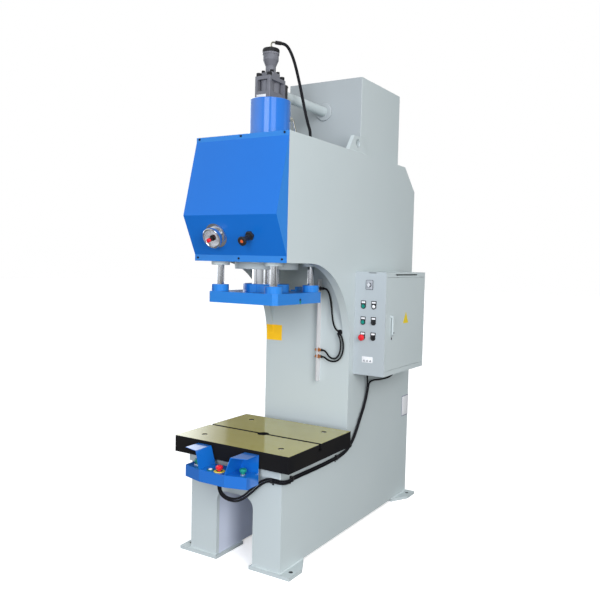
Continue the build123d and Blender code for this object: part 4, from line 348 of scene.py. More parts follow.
def join_pieces(pieces):
    """Joins pieces into the first of them."""
    bpy.ops.object.select_all(action="DESELECT")
    for piece in pieces:
        piece.select_set(True)
    bpy.context.view_layer.objects.active = pieces[0]
    if len(pieces) > 1:
        bpy.ops.object.join()
    return pieces[0]


def settle(piece, body, finish, places=(Matrix.Identity(4),), smooth=32.0):
    """Sets a piece, or a copy of it at each place, into the press as one finished mesh with its finish."""
    bpy.ops.object.select_all(action="DESELECT")
    piece.select_set(True)
    bpy.context.view_layer.objects.active = piece
    bpy.ops.object.transform_apply()
    bpy.ops.object.shade_smooth_by_angle(angle=math.radians(smooth))
    twins = [piece]
    for place in places[1:]:
        twin = piece.copy()
        twin.data = piece.data.copy()
        scene.collection.objects.link(twin)
        twin.data.transform(place)
        twins.append(twin)
    piece.data.transform(places[0])
    join_pieces(twins)
    piece.data.name = piece.name
    piece.data.materials.clear()
    piece.data.materials.append(finish)
    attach(piece, body)
    return piece


for run_name, leg, runs in WELD_RUNS:
    beads = []
    for start, end in runs:
        start, end = Vector(start), Vector(end)
        bead = add_shape("ico_sphere", run_name, subdivisions=2, radius=leg, scale=(0.75, 1.0, 0.8))
        row = bead.modifiers.new("row", "ARRAY")
        row.count = max(2, int((end - start).length / WELD_RIPPLE))
        row.use_relative_offset = False
        row.use_constant_offset = True
        row.constant_offset_displace = (WELD_RIPPLE, 0, 0)
        bpy.ops.object.modifier_apply(modifier="row")
        heading_on = (end - start).to_track_quat("X", "Z").to_matrix().to_4x4()
        bead.matrix_world = Matrix.Translation(start) @ heading_on
        bpy.ops.object.transform_apply()
        beads.append(bead)
    settle(join_pieces(beads), "frame", grey_enamel, smooth=60.0)

# The table is a ground steel plate under a film of slushing oil, which has turned its top olive and made it a
# mirror. Its flame-cut sides are painted black, and oiled screws sunk in counterbores hold it to the seat.
OIL, OIL_THIN = (0.315, 0.262, 0.006), (0.345, 0.298, 0.024)
SIDE_BLACK, SIDE_BROWN = (0.008, 0.008, 0.009), (0.013, 0.012, 0.011)
TABLE_TOP_FROM = 0.685
SEAT_SCREWS_BELOW, OILED_SCREW = 0.75, (0.36, 0.34, 0.27)
table_steel = bpy.data.materials.new("oiled_table")
table_steel.use_nodes = True
tree = table_steel.node_tree
shader = tree.nodes["Principled BSDF"]
for label, value in (("Specular IOR Level", 0.1), ("Coat Roughness", 0.04), ("Coat IOR", 2.4)):
    shader.inputs[label].default_value = value
film = object_noise(tree, 3.2, 5.0)
grinding = object_noise(tree, 240.0, 3.0, (0.02, 1.0, 1.0))
oiled = blend_colours(tree, spread(tree, film, 0.0, 1.0, 0.35, 0.62), OIL, OIL_THIN)
sides = blend_colours(tree, spread(tree, film, 0.0, 1.0, 0.4, 0.7), SIDE_BLACK, SIDE_BROWN)
facing_up = spread(tree, along(tree, "Z", "Normal"), 0.0, 1.0, 0.80, 0.95)
on_top = combine(tree, "MULTIPLY", facing_up, combine(tree, "GREATER_THAN", along(tree, "Z"), TABLE_TOP_FROM))
tree.links.new(blend_colours(tree, on_top, sides, oiled), shader.inputs["Base Color"])
tree.links.new(on_top, shader.inputs["Coat Weight"])
tree.links.new(spread(tree, grinding, 0.50, 0.62), shader.inputs["Roughness"])
set_relief(tree, shader, grinding, 0.08, 0.0002)
coat_nodes(table_steel, "work_table")
black_steel = new_finish("black_oxide", (0.010, 0.010, 0.012), (0.019, 0.019, 0.021), 0.42, grain=500.0,
                         specular=0.25)
tree = black_steel.node_tree
paint_zone(black_steel, combine(tree, "LESS_THAN", along(tree, "Z"), SEAT_SCREWS_BELOW), OILED_SCREW)
coat_nodes(black_steel, "socket_bolts")

# The head cover, cylinder, ram and console wear the same strong blue enamel over sheet and machined steel.
# Cover and ram get a paler blue painted on faces to the front and the right, as painted light, and the
# cylinder and the console have the deeper gloss.
BLUE, BLUE_SHADE, BLUE_PAINTED_LIGHT = (0.006, 0.142, 0.540), (0.005, 0.132, 0.510), (0.022, 0.185, 0.555)
UPRIGHT_FRONT, RIGHT_SIDE = -0.985, 0.2
blue_enamel = new_finish("blue_enamel", BLUE, BLUE_SHADE, 0.34, grain=260.0, bump=0.0002, specular=0.16,
                         coat=0.5, coat_roughness=0.14)
tree = blue_enamel.node_tree
# Faces to the front and the right get a paler blue as painted light.
lit_front_faces = combine(tree, "LESS_THAN", along(tree, "Y", "Normal"), UPRIGHT_FRONT)
lit_right_faces = combine(tree, "GREATER_THAN", along(tree, "X", "Normal"), RIGHT_SIDE)
paint_zone(blue_enamel, combine(tree, "MAXIMUM", lit_front_faces, lit_right_faces), BLUE_PAINTED_LIGHT)
coat_nodes(blue_enamel, "head_cover", "platen", "ram_flange", "guide_collars", "trip_bracket")
cylinder_enamel = new_finish("cylinder_enamel", BLUE, BLUE_SHADE, 0.30, grain=200.0, bump=0.0001, uneven=0.03,
                             specular=0.3, coat=1.0, coat_roughness=0.08)
cylinder_enamel.node_tree.nodes["Principled BSDF"].inputs["Coat IOR"].default_value = 1.85
coat_nodes(cylinder_enamel, "main_cylinder", "console")

# Six screws hold the folded head cover by its top and bottom flanges. Each is a turned head of blackened
# steel with a rounded edge and a socket.
COVER_SCREW_X, COVER_SCREW_Z = (-0.292, 0.0, 0.287), (1.723, 2.390)
COVER_FACE = -0.843


def pick(piece, kind, test):
    """Selects, in edit mode, the faces or edges that pass the test."""
    bpy.ops.mesh.select_mode(type=kind)
    bpy.ops.mesh.select_all(action="DESELECT")
    shape = bmesh.from_edit_mesh(piece.data)
    for part in shape.faces if kind == "FACE" else shape.edges:
        part.select = test(part)
    shape.select_flush_mode()
    bmesh.update_edit_mesh(piece.data)


def soften_top(piece, amount):
    """Rounds the rim of the face on top."""
    pick(piece, "FACE", lambda face: face.normal.z > 0.9)
    bpy.ops.mesh.bevel(offset=amount, segments=2, affect="EDGES")


def stand_at(place, facing="Z", turned=0.0):
    """Where a piece that is modelled standing on the origin goes, and which way its top faces."""
    ways = {"Z": Matrix.Identity(4), "X": Matrix.Rotation(math.pi / 2, 4, "Y"),
            "-Y": Matrix.Rotation(math.pi / 2, 4, "X")}
    return Matrix.Translation(place) @ ways[facing] @ Matrix.Rotation(turned, 4, "Z")


def socket_screw(name, across, height, key):
    """A screw's head, standing on the origin, with a rounded edge and a round socket for its key."""
    rounding = height * 0.14
    screw = add_shape("cylinder", name, vertices=32, radius=across / 2, depth=height,
                      location=(0, 0, height / 2))
    bpy.ops.object.mode_set(mode="EDIT")
    soften_top(screw, rounding)
    pick(screw, "FACE", lambda face: face.normal.z > 0.999
         and face.calc_center_median().xy.length < across * 0.05)
    bpy.ops.mesh.inset(thickness=across * 0.5 - rounding - key * 0.62)
    bpy.ops.mesh.delete(type="FACE")
    pick(screw, "EDGE", lambda edge: edge.is_boundary)
    bpy.ops.mesh.extrude_region_move(TRANSFORM_OT_translate={"value": (0, 0, -height * 0.55)})
    bpy.ops.mesh.edge_face_add()
    bpy.ops.mesh.select_all(action="SELECT")
    bpy.ops.mesh.normals_make_consistent(inside=False)
    bpy.ops.object.mode_set(mode="OBJECT")
    return screw


settle(socket_screw("cover_screws", 0.0115, 0.0045, 0.0055), "frame", black_steel,
       [stand_at((x, COVER_FACE, z), "-Y") for x in COVER_SCREW_X for z in COVER_SCREW_Z])

# The piston rod and the four guide rods are ground and hard-chromed bar, so they are turned here with far
# more facets than the solids that they stand for. A thin film of oil leaves faint upright streaks.
AXIS_Y = -0.575
GUIDE_PLACES = [(x, AXIS_Y + y) for x in (-0.185, 0.185) for y in (-0.195, 0.195)]
GUIDE, PISTON_ROD, PISTON, PISTON_GROOVE = 0.021, 0.0825, 0.09245, 0.08645
PISTON_HEIGHT, GROOVE_WIDTH, GROOVES = 0.100, 0.010, (0.025, 0.065)


def turn_profile(name, profile, steps=48):
    """Turns a profile of radius and height points round the upright axis into a closed piece."""
    piece = add_shape("plane", name, size=0.01)
    bpy.ops.object.mode_set(mode="EDIT")
    bpy.ops.mesh.select_mode(type="VERT")
    bpy.ops.mesh.select_all(action="SELECT")
    bpy.ops.mesh.merge(type="CENTER")
    bpy.ops.transform.translate(value=(profile[0][0], 0, profile[0][1]))
    for (r0, z0), (r1, z1) in zip(profile, profile[1:]):
        bpy.ops.mesh.extrude_region_move(TRANSFORM_OT_translate={"value": (r1 - r0, 0, z1 - z0)})
    bpy.ops.mesh.select_all(action="SELECT")
    bpy.ops.mesh.spin(steps=steps, angle=2 * math.pi, center=(0, 0, 0), axis=(0, 0, 1))
    bpy.ops.mesh.select_all(action="SELECT")
    bpy.ops.mesh.remove_doubles(threshold=0.00001)
    bpy.ops.mesh.normals_make_consistent(inside=False)
    bpy.ops.object.mode_set(mode="OBJECT")
    return piece


hard_chrome = new_finish("hard_chrome", (0.78, 0.78, 0.81), (0.74, 0.74, 0.77), 0.10, metallic=1.0,
                         stretch=(1.0, 1.0, 0.02), bump=0.0, uneven=0.015)
foot, top = (corner[2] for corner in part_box("guide_rods"))
guide_bars = turn_profile("guide_bars", [
    (0, foot), (GUIDE - 0.001, foot), (GUIDE, foot + 0.001), (GUIDE, top - 0.002), (GUIDE - 0.002, top),
    (0, top)], steps=72)
settle(guide_bars, "ram", hard_chrome, [stand_at((x, y, 0)) for x, y in GUIDE_PLACES])
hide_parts("guide_rods")

foot, top = (corner[2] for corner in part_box("piston_rod"))
piston_foot = top - PISTON_HEIGHT
outline = [(0, foot), (PISTON_ROD, foot), (PISTON_ROD, piston_foot), (PISTON, piston_foot)]
for groove in GROOVES:
    low, high = piston_foot + groove, piston_foot + groove + GROOVE_WIDTH
    outline += [(PISTON, low), (PISTON_GROOVE, low), (PISTON_GROOVE, high), (PISTON, high)]
outline += [(PISTON, top - 0.004), (PISTON - 0.004, top), (0, top)]
piston_bar = turn_profile("piston_bar", outline, steps=96)
settle(piston_bar, "ram", hard_chrome, [stand_at((0, AXIS_Y, 0))])
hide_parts("piston_rod")

# The clamp screw of the punch shank is sunk in the right edge of the ram, and a little green thread sealer
# has run out of its hole and dried.
CLAMP_SCREW_AT = (0.2362, AXIS_Y, 1.4935)
SEALER_X, SEALER_Y, SEALER_FROM, SEALER_TO = 0.2385, -0.5745, 1.4725, 1.4905
SEALER_THICK, SEALER_WIDTH, SEALER_TAPER = 0.0012, 0.016, 0.45
sealer = new_finish("thread_sealer", (0.004, 0.16, 0.13), (0.008, 0.22, 0.17), 0.25, drift=60.0)
drip = add_shape("cube", "thread_sealer", size=1, location=(SEALER_X, SEALER_Y, (SEALER_FROM + SEALER_TO) / 2),
                 scale=(SEALER_THICK, SEALER_WIDTH, SEALER_TO - SEALER_FROM))
bpy.ops.object.mode_set(mode="EDIT")
bpy.ops.mesh.select_all(action="SELECT")
bpy.ops.mesh.subdivide(number_cuts=2)
pick(drip, "FACE", lambda face: face.normal.z < -0.9)
bpy.ops.transform.resize(value=(1, SEALER_TAPER, 1))
bpy.ops.mesh.select_all(action="DESELECT")
bpy.ops.object.mode_set(mode="OBJECT")
soft = drip.modifiers.new("soft", "SUBSURF")
soft.levels = soft.render_levels = 2
bpy.ops.object.modifier_apply(modifier="soft")
settle(drip, "ram", sealer)
settle(socket_screw("clamp_screw_head", 0.0185, 0.0012, 0.009), "ram", black_steel,
       [stand_at(CLAMP_SCREW_AT, "X")])

# The prefill valve is a dark grey casting with two barrels between its posts, and the actuator on it is
# turned and phosphated. A black ribbed cap closes the actuator, and a blank plate is stuck to the valve's
# foot.
CAP_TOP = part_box("actuator_cap")[1][2]
CAP_BLACK, CAP_RIBS = 0.024, 36
CAP_RIB_AT, CAP_RIB_SIZE = (0.0475, 0, CAP_TOP - 0.0145), (0.0035, 0.0035, 0.014)
VALVE_PLATE_AT = (-0.006, -0.6552, 2.6435)
cast_grey = new_finish("phosphated_casting", (0.140, 0.143, 0.163), (0.180, 0.184, 0.208), 0.44,
                       metallic=0.15, drift=14.0, grain=420.0, bump=0.0005)
coat_nodes(cast_grey, "prefill_valve", "valve_actuator")
black_plastic = new_finish("black_plastic", (0.014, 0.014, 0.015), (0.022, 0.022, 0.023), 0.38, drift=12.0,
                           grain=700.0, bump=0.0002)
coat_nodes(black_plastic, "button_bezels", "cable_fixings", "throttle_valve", "throttle_knob",
           "selector_upper", "selector_lower")
cap_finish = new_finish("cap_finish", (0.150, 0.152, 0.172), (0.185, 0.187, 0.212), 0.42, drift=14.0,
                        grain=420.0)
tree = cap_finish.node_tree
cap_end = combine(tree, "GREATER_THAN", along(tree, "Z"), CAP_TOP - CAP_BLACK)
paint_zone(cap_finish, cap_end, (0.012, 0.012, 0.013))
coat_nodes(cap_finish, "actuator_cap")
cap_rib = add_shape("cube", "cap_ribs", size=1, location=CAP_RIB_AT, scale=CAP_RIB_SIZE)
bpy.ops.object.mode_set(mode="EDIT")
bpy.ops.mesh.select_all(action="SELECT")
bpy.ops.mesh.bevel(offset=0.001, segments=2, affect="EDGES")
bpy.ops.object.mode_set(mode="OBJECT")
settle(cap_rib, "frame", black_plastic,
       [stand_at((0, AXIS_Y, 0), "Z", 2 * math.pi * step / CAP_RIBS) for step in range(CAP_RIBS)])


def round_corners(plate, thick, radius):
    """Rounds the upright corners of a thin plate."""
    bpy.ops.object.mode_set(mode="EDIT")
    pick(plate, "EDGE", lambda edge: abs(edge.verts[0].co.z - edge.verts[1].co.z) > thick * 0.5)
    bpy.ops.mesh.bevel(offset=radius, segments=5, affect="EDGES")
    bpy.ops.object.mode_set(mode="OBJECT")


def thin_plate(name, width, height, thick, corner):
    """A thin plate with rounded corners and a softened rim, standing on the origin and facing up."""
    plate = add_shape("cube", name, size=1, location=(0, 0, thick / 2), scale=(width, height, thick))
    round_corners(plate, thick, corner)
    bpy.ops.object.mode_set(mode="EDIT")
    soften_top(plate, thick * 0.3)
    bpy.ops.object.mode_set(mode="OBJECT")
    return plate


pale_foil = new_finish("pale_foil", (0.72, 0.73, 0.74), (0.64, 0.65, 0.67), 0.35, metallic=0.2, drift=30.0,
                       grain=300.0)
settle(thin_plate("valve_plate", 0.064, 0.025, 0.0008, 0.002), "frame", pale_foil,
       [stand_at(VALVE_PLATE_AT, "-Y")])

# The suction pipe is drawn tube, painted with the tank, behind a black flange on the valve. The pilot elbow
# and the return pipe are zinc-plated, with black ferrules and unions.
FLANGE_BACK, FLANGE_BLACK = -0.468, (0.030, 0.028, 0.030)
ELBOW_ABOVE, ELBOW_REACH = 2.9, 0.0238
HOSE_FITTING_FROM = 0.200
UNION_BELOW, UNION_REACH = 2.435, 0.1342
pipe_paint = grey_paint("pipe_paint", 0.40)
tree = pipe_paint.node_tree
paint_zone(pipe_paint, combine(tree, "LESS_THAN", along(tree, "Y"), FLANGE_BACK), FLANGE_BLACK)
coat_nodes(pipe_paint, "suction_pipe")
zinc_pipe = new_finish("zinc_pipe", (0.62, 0.58, 0.47), (0.66, 0.64, 0.58), 0.22, metallic=1.0, drift=25.0,
                       grain=300.0, bump=0.0002)
tree = zinc_pipe.node_tree
from_axis = level_distance(tree, tree.nodes.new("ShaderNodeTexCoord").outputs["Object"], (0.0, AXIS_Y, 0.0))
ferrule = combine(tree, "MULTIPLY", combine(tree, "GREATER_THAN", along(tree, "Z"), ELBOW_ABOVE),
                  combine(tree, "GREATER_THAN", from_axis, ELBOW_REACH))
union = combine(tree, "MULTIPLY", combine(tree, "LESS_THAN", along(tree, "Z"), UNION_BELOW),
                combine(tree, "GREATER_THAN", from_axis, UNION_REACH))
lower_end = combine(tree, "GREATER_THAN", from_axis, HOSE_FITTING_FROM)
dark_ends = combine(tree, "MAXIMUM", combine(tree, "MAXIMUM", ferrule, lower_end), union)
paint_zone(zinc_pipe, dark_ends, (0.020, 0.018, 0.018), metallic=0.2)
coat_nodes(zinc_pipe, "pipe_fittings")

# The pilot hose is black rubber over wire braid. It leaves the elbow level, arcs over and drops to the
# ferrule on the deck.
HOSE_DIAMETER, HOSE_LENGTH = 0.018, 0.573
PILOT_HOSE = [
    (0.03556, -0.5242, 2.97), (0.04646, -0.5086, 2.97), (0.05908, -0.4906, 2.957), (0.0717, -0.4726, 2.924),
    (0.08202, -0.4579, 2.884), (0.0912, -0.4448, 2.837), (0.1009, -0.4308, 2.778), (0.1107, -0.4169, 2.713),
    (0.1199, -0.4038, 2.648), (0.1291, -0.3907, 2.584), (0.1394, -0.3759, 2.523), (0.148, -0.3637, 2.486),
    (0.148, -0.3637, 2.454)]
black_rubber = new_finish("black_rubber", (0.006, 0.006, 0.008), (0.011, 0.011, 0.013), 0.50, drift=8.0,
                          grain=900.0, bump=0.0002, uneven=0.08, specular=0.25)


def lay_cord(name, node, points, diameter):
    """One smooth round rubber cord through its route's points, from its exit back into the press."""
    line = bpy.data.curves.new(name, "CURVE")
    line.dimensions = "3D"
    line.resolution_u = 10
    line.bevel_depth = diameter / 2
    line.bevel_resolution = 5
    line.use_fill_caps = True
    route = line.splines.new("NURBS")
    route.points.add(len(points) - 1)
    for point, spot in zip(route.points, points):
        point.co = (*spot, 1.0)
    route.order_u = 3
    route.use_endpoint_u = True
    cord = bpy.data.objects.new(name, line)
    scene.collection.objects.link(cord)
    cord.data.materials.append(black_rubber)
    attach(cord, "frame")
    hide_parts(node)


lay_cord("pilot_hose_line", "pilot_hose", PILOT_HOSE, HOSE_DIAMETER)

# The pressure gauge is a panel gauge in a polished steel case, with its dial well behind the glass and a
# setting knob through it. Three screws hold its flange to the cover.
PANEL_NORMAL = Vector((0, -0.90023, -0.43541))
PANEL_TURN = Matrix.Rotation(math.atan2(-PANEL_NORMAL.y, PANEL_NORMAL.z), 4, "X")
GAUGE_AT = Vector((-0.118, -0.895, 1.8475))
DIAL_RADIUS, DIAL_HOLE, DIAL_Z, DIAL_THICK = 0.0485, 0.0155, 0.0243, 0.0008
DIAL_SWEEP, DIAL_STEPS, DIAL_NUMBERS = 270.0, 50, 6
TICK_RIM, NUMBER_RING, NUMBER_SIZE = 0.045, 0.034, 0.009
NEEDLE_ANGLE, NEEDLE_OUT, NEEDLE_Z = 132.0, 0.016, 0.0268
SCREW_RING, SCREW_Z, SCREW_ANGLES = 0.0625, 0.004, (30, 150, 270)
KNOB_TIP, RED = 0.0637, (0.72, 0.018, 0.030)
on_gauge = Matrix.Translation(GAUGE_AT) @ PANEL_TURN


def turned_about(base, degrees, offset):
    """A place on a panel part, turned about the part's own axis and then moved."""
    return base @ Matrix.Rotation(math.radians(degrees), 4, "Z") @ Matrix.Translation(offset)


polished_steel = new_finish("polished_steel", (0.66, 0.66, 0.68), (0.60, 0.60, 0.62), 0.14, metallic=1.0,
                            drift=20.0, grain=300.0, bump=0.00005)
satin_steel = new_finish("satin_steel", (0.88, 0.88, 0.89), (0.82, 0.82, 0.83), 0.15, metallic=1.0, drift=8.0,
                         grain=300.0, bump=0.0, uneven=0.02)
coat_nodes(satin_steel, "gauge_case")
lens_glass = bpy.data.materials.new("gauge_glass")
lens_glass.use_nodes = True
tree = lens_glass.node_tree
shader = tree.nodes["Principled BSDF"]
shader.inputs["Base Color"].default_value = (0.96, 0.98, 0.98, 1.0)
shader.inputs["Transmission Weight"].default_value = 1.0
shader.inputs["IOR"].default_value = 1.45
tree.links.new(spread(tree, object_noise(tree, 25.0, 3.0), 0.0, 0.01), shader.inputs["Roughness"])
coat_nodes(lens_glass, "gauge_lens")

dial_paint = new_finish("dial_enamel", (0.97, 0.96, 1.0), (0.93, 0.92, 0.97), 0.35, drift=40.0, grain=500.0)
dial = turn_profile("gauge_dial", [(DIAL_HOLE, 0), (DIAL_RADIUS, 0), (DIAL_RADIUS, DIAL_THICK),
                                   (DIAL_HOLE, DIAL_THICK), (DIAL_HOLE, 0)], steps=64)
settle(dial, "frame", dial_paint, [on_gauge @ Matrix.Translation((0, 0, DIAL_Z))])
dial_ink = new_finish("dial_ink", (0.02, 0.02, 0.022), (0.03, 0.03, 0.03), 0.5, drift=60.0, grain=900.0)
for tick_name, every, length, width in (("dial_fine_ticks", 1, 0.003, 0.0004),
                                        ("dial_long_ticks", 5, 0.006, 0.0009)):
    out = (0, TICK_RIM - length / 2, DIAL_Z + DIAL_THICK)
    settle(thin_plate(tick_name, width, length, 0.0004, width * 0.3), "frame", dial_ink,
           [turned_about(on_gauge, DIAL_SWEEP / 2 - DIAL_SWEEP * step / DIAL_STEPS, out)
            for step in range(0, DIAL_STEPS + 1, every)])
numbers = []
for count in range(DIAL_NUMBERS):
    angle = math.radians(90 + DIAL_SWEEP / 2 - DIAL_SWEEP * count / (DIAL_NUMBERS - 1))
    bpy.ops.object.select_all(action="DESELECT")
    bpy.ops.object.text_add()
    number = bpy.context.object
    number.name = "dial_numbers"
    number.data.body = str(count * 5)
    number.data.size = NUMBER_SIZE
    number.data.align_x = number.data.align_y = "CENTER"
    number.data.extrude = 0.0002
    bpy.ops.object.convert(target="MESH")
    number.data.transform(on_gauge @ Matrix.Translation((NUMBER_RING * math.cos(angle),
                                                         NUMBER_RING * math.sin(angle), DIAL_Z + 0.001)))
    numbers.append(number)
settle(join_pieces(numbers), "frame", dial_ink)
settle(thin_plate("gauge_needle", 0.0022, 0.052, 0.0008, 0.0007), "frame", dial_ink,
       [turned_about(on_gauge, NEEDLE_ANGLE, (0, NEEDLE_OUT, NEEDLE_Z))])
hub = turn_profile("gauge_hub", [(0, 0.0250), (0.0163, 0.0250), (0.0163, 0.0395), (0.0150, 0.0412),
                                 (0.0056, 0.0412), (0.0056, 0.0410), (0, 0.0410)])
settle(hub, "frame", black_plastic, [on_gauge])
settle(socket_screw("gauge_screws", 0.0085, 0.0035, 0.004), "frame", polished_steel,
       [turned_about(on_gauge, angle, (SCREW_RING, 0, SCREW_Z)) for angle in SCREW_ANGLES])
knob_plastic = new_finish("knob_plastic", (0.016, 0.015, 0.015), (0.025, 0.023, 0.022), 0.35, drift=20.0,
                          grain=700.0)
tree = knob_plastic.node_tree
place = tree.nodes.new("ShaderNodeTexCoord").outputs["Object"]
ahead = vector_step(tree, "DOT_PRODUCT", place, PANEL_NORMAL)
paint_zone(knob_plastic, combine(tree, "GREATER_THAN", ahead, GAUGE_AT.dot(PANEL_NORMAL) + KNOB_TIP), RED)
coat_nodes(knob_plastic, "gauge_knob")

# The throttle valve's knob is flared black plastic. Its edge is knurled, and an orange disc is pressed into
# its face.
THROTTLE_AT = Vector((0.113, -0.895, 1.8475))
KNURLS, KNURL_OUT, KNURL_Z = 28, -0.0247, 0.079
on_throttle = Matrix.Translation(THROTTLE_AT) @ PANEL_TURN
settle(thin_plate("throttle_knurl", 0.0030, 0.0075, 0.0014, 0.0004), "throttle_knob", black_plastic,
       [turned_about(on_throttle, 360 * step / KNURLS, (0, KNURL_OUT, KNURL_Z))
                         @ Matrix.Rotation(math.pi / 2, 4, "X") for step in range(KNURLS)])
orange_plastic = new_finish("orange_plastic", (0.72, 0.130, 0.035), (0.62, 0.105, 0.030), 0.4, drift=40.0,
                            grain=600.0)
disc = turn_profile("throttle_disc", [(0, 0.0812), (0.0092, 0.0812), (0.0092, 0.0828), (0.0082, 0.0838),
                                      (0, 0.0838)], steps=40)
settle(disc, "throttle_knob", orange_plastic, [on_throttle])

# A pale painted angle on the column carries three brass proximity switches. Their black cables hang in a
# loop and go through the grommet, and a flag on the ram trips them.
BOOT_FROM, PAINTED_SHADE_ABOVE = 0.126, 1.50
RAIL_SCREW_X, RAIL_FACE, RAIL_SCREW_Z = 0.090, -0.1140, (1.012, 1.330, 1.500)
SENSOR_CABLE = 0.011
UPPER_CABLE = [
    (0.132, -0.132, 1.547), (0.148, -0.132, 1.547), (0.166, -0.132, 1.531), (0.179, -0.133, 1.5),
    (0.188, -0.134, 1.462), (0.195, -0.135, 1.42), (0.2, -0.136, 1.379), (0.208, -0.137, 1.341),
    (0.22, -0.138, 1.309), (0.237, -0.137, 1.29), (0.245, -0.129, 1.283), (0.245, -0.114, 1.283)]
MIDDLE_CABLE = [
    (0.132, -0.132, 1.156), (0.148, -0.132, 1.156), (0.164, -0.132, 1.142), (0.181, -0.133, 1.121),
    (0.206, -0.134, 1.108), (0.235, -0.135, 1.112), (0.257, -0.136, 1.136), (0.267, -0.137, 1.173),
    (0.268, -0.138, 1.212), (0.26, -0.138, 1.244), (0.247, -0.136, 1.263), (0.24, -0.128, 1.271),
    (0.24, -0.114, 1.271)]
LOWER_CABLE = [
    (0.132, -0.132, 1.114), (0.148, -0.132, 1.114), (0.168, -0.132, 1.1), (0.196, -0.133, 1.091),
    (0.229, -0.135, 1.092), (0.258, -0.137, 1.106), (0.279, -0.138, 1.137), (0.287, -0.138, 1.178),
    (0.285, -0.138, 1.218), (0.275, -0.138, 1.249), (0.262, -0.136, 1.266), (0.254, -0.128, 1.273),
    (0.254, -0.114, 1.273)]
rail_paint = new_finish("rail_paint", (0.66, 0.65, 0.65), (0.58, 0.58, 0.60), 0.35, metallic=0.1, drift=6.0,
                        grain=300.0)
coat_nodes(rail_paint, "sensor_rail")
brass = new_finish("sensor_brass", (0.62, 0.26, 0.09), (0.48, 0.18, 0.06), 0.32, metallic=0.65, drift=60.0,
                   grain=500.0)
tree = brass.node_tree
# Black over the cable boots, and black painted shade over the whole upper switch under the ram.
boots_and_painted_shade = combine(tree, "MAXIMUM", combine(tree, "GREATER_THAN", along(tree, "X"), BOOT_FROM),
                combine(tree, "GREATER_THAN", along(tree, "Z"), PAINTED_SHADE_ABOVE))
paint_zone(brass, boots_and_painted_shade, (0.014, 0.014, 0.015), metallic=0.0)
coat_nodes(brass, "sensors")
zinc = new_finish("zinc_plate", (0.55, 0.55, 0.56), (0.47, 0.47, 0.49), 0.30, metallic=1.0, drift=25.0,
                  grain=350.0)
settle(socket_screw("rail_screws", 0.012, 0.006, 0.006), "frame", zinc,
       [stand_at((RAIL_SCREW_X, RAIL_FACE, z), "-Y") for z in RAIL_SCREW_Z])
lay_cord("sensor_line_upper", "sensor_cable_upper", UPPER_CABLE, SENSOR_CABLE)
lay_cord("sensor_line_middle", "sensor_cable_middle", MIDDLE_CABLE, SENSOR_CABLE)
lay_cord("sensor_line_lower", "sensor_cable_lower", LOWER_CABLE, SENSOR_CABLE)

# Safety fields: a plain yellow plate on the column and a plain yellow triangle on the enclosure's door. Both
# are blank vinyl, and a blank plate sits behind the enclosure on the right side of the frame.
COLUMN_FACE, THROAT_RADIUS, THROAT_Z = -0.110, 0.490, 1.214
PLATE_INSIDE, VINYL, TRIANGLE_THICK = -0.265, 0.0005, 0.0006
FIELD_AT, FIELD_SIZE = (-0.252, COLUMN_FACE - 0.0003, 1.2405), (0.120, 0.102, 1)
TRIANGLE_AT = (0.5281, 0.2605, 1.3555)
SIDE_BORDER_AT, SIDE_BLANK_AT = (0.3151, 0.7845, 0.673), (0.3159, 0.7845, 0.673)
yellow_vinyl = new_finish("yellow_vinyl", (0.97, 0.56, 0.012), (0.94, 0.53, 0.012), 0.42, drift=20.0,
                          grain=400.0)
field = add_shape("grid", "column_field", x_subdivisions=2, y_subdivisions=24, size=1, location=FIELD_AT,
                  rotation=(math.pi / 2, 0, 0), scale=FIELD_SIZE)
bpy.ops.object.mode_set(mode="EDIT")
for step_x in (PLATE_INSIDE + 0.0005, PLATE_INSIDE + 0.0015):
    bpy.ops.mesh.select_all(action="SELECT")
    bpy.ops.mesh.bisect(plane_co=(step_x, 0, 0), plane_no=(1, 0, 0))
bpy.ops.object.mode_set(mode="OBJECT")
for corner in field.data.vertices:
    over_curve = corner.co.z - THROAT_Z
    if corner.co.x < PLATE_INSIDE + 0.001 and over_curve > 0:
        corner.co.y += math.sqrt(THROAT_RADIUS ** 2 - over_curve ** 2) - THROAT_RADIUS
skin = field.modifiers.new("skin", "SOLIDIFY")
skin.thickness = VINYL
skin.offset = 1
bpy.ops.object.modifier_apply(modifier="skin")
settle(field, "frame", yellow_vinyl)
lemon_vinyl = new_finish("lemon_vinyl", (0.72, 0.56, 0.020), (0.67, 0.51, 0.018), 0.42, drift=20.0,
                         grain=400.0)
triangle = add_shape("cylinder", "door_triangle", vertices=3, radius=0.049, depth=TRIANGLE_THICK,
                     location=(0, 0, TRIANGLE_THICK / 2))
round_corners(triangle, TRIANGLE_THICK, 0.005)
settle(triangle, "door", lemon_vinyl,
       [Matrix.Translation(TRIANGLE_AT) @ Matrix.Rotation(math.pi / 2, 4, "Z")
        @ Matrix.Rotation(math.pi / 2, 4, "X")])
white_plastic = new_finish("white_plastic", (0.78, 0.79, 0.81), (0.72, 0.73, 0.75), 0.32, drift=20.0,
                           grain=500.0)
coat_nodes(white_plastic, "box_lamp")
slate_ink = new_finish("slate_ink", (0.13, 0.14, 0.22), (0.16, 0.17, 0.25), 0.5, drift=30.0, grain=500.0)
settle(thin_plate("side_plate_border", 0.111, 0.150, 0.0008, 0.006), "frame", slate_ink,
       [stand_at(SIDE_BORDER_AT, "X", math.pi / 2)])
settle(thin_plate("side_plate_blank", 0.101, 0.140, 0.0006, 0.004), "frame", white_plastic,
       [stand_at(SIDE_BLANK_AT, "X", math.pi / 2)])

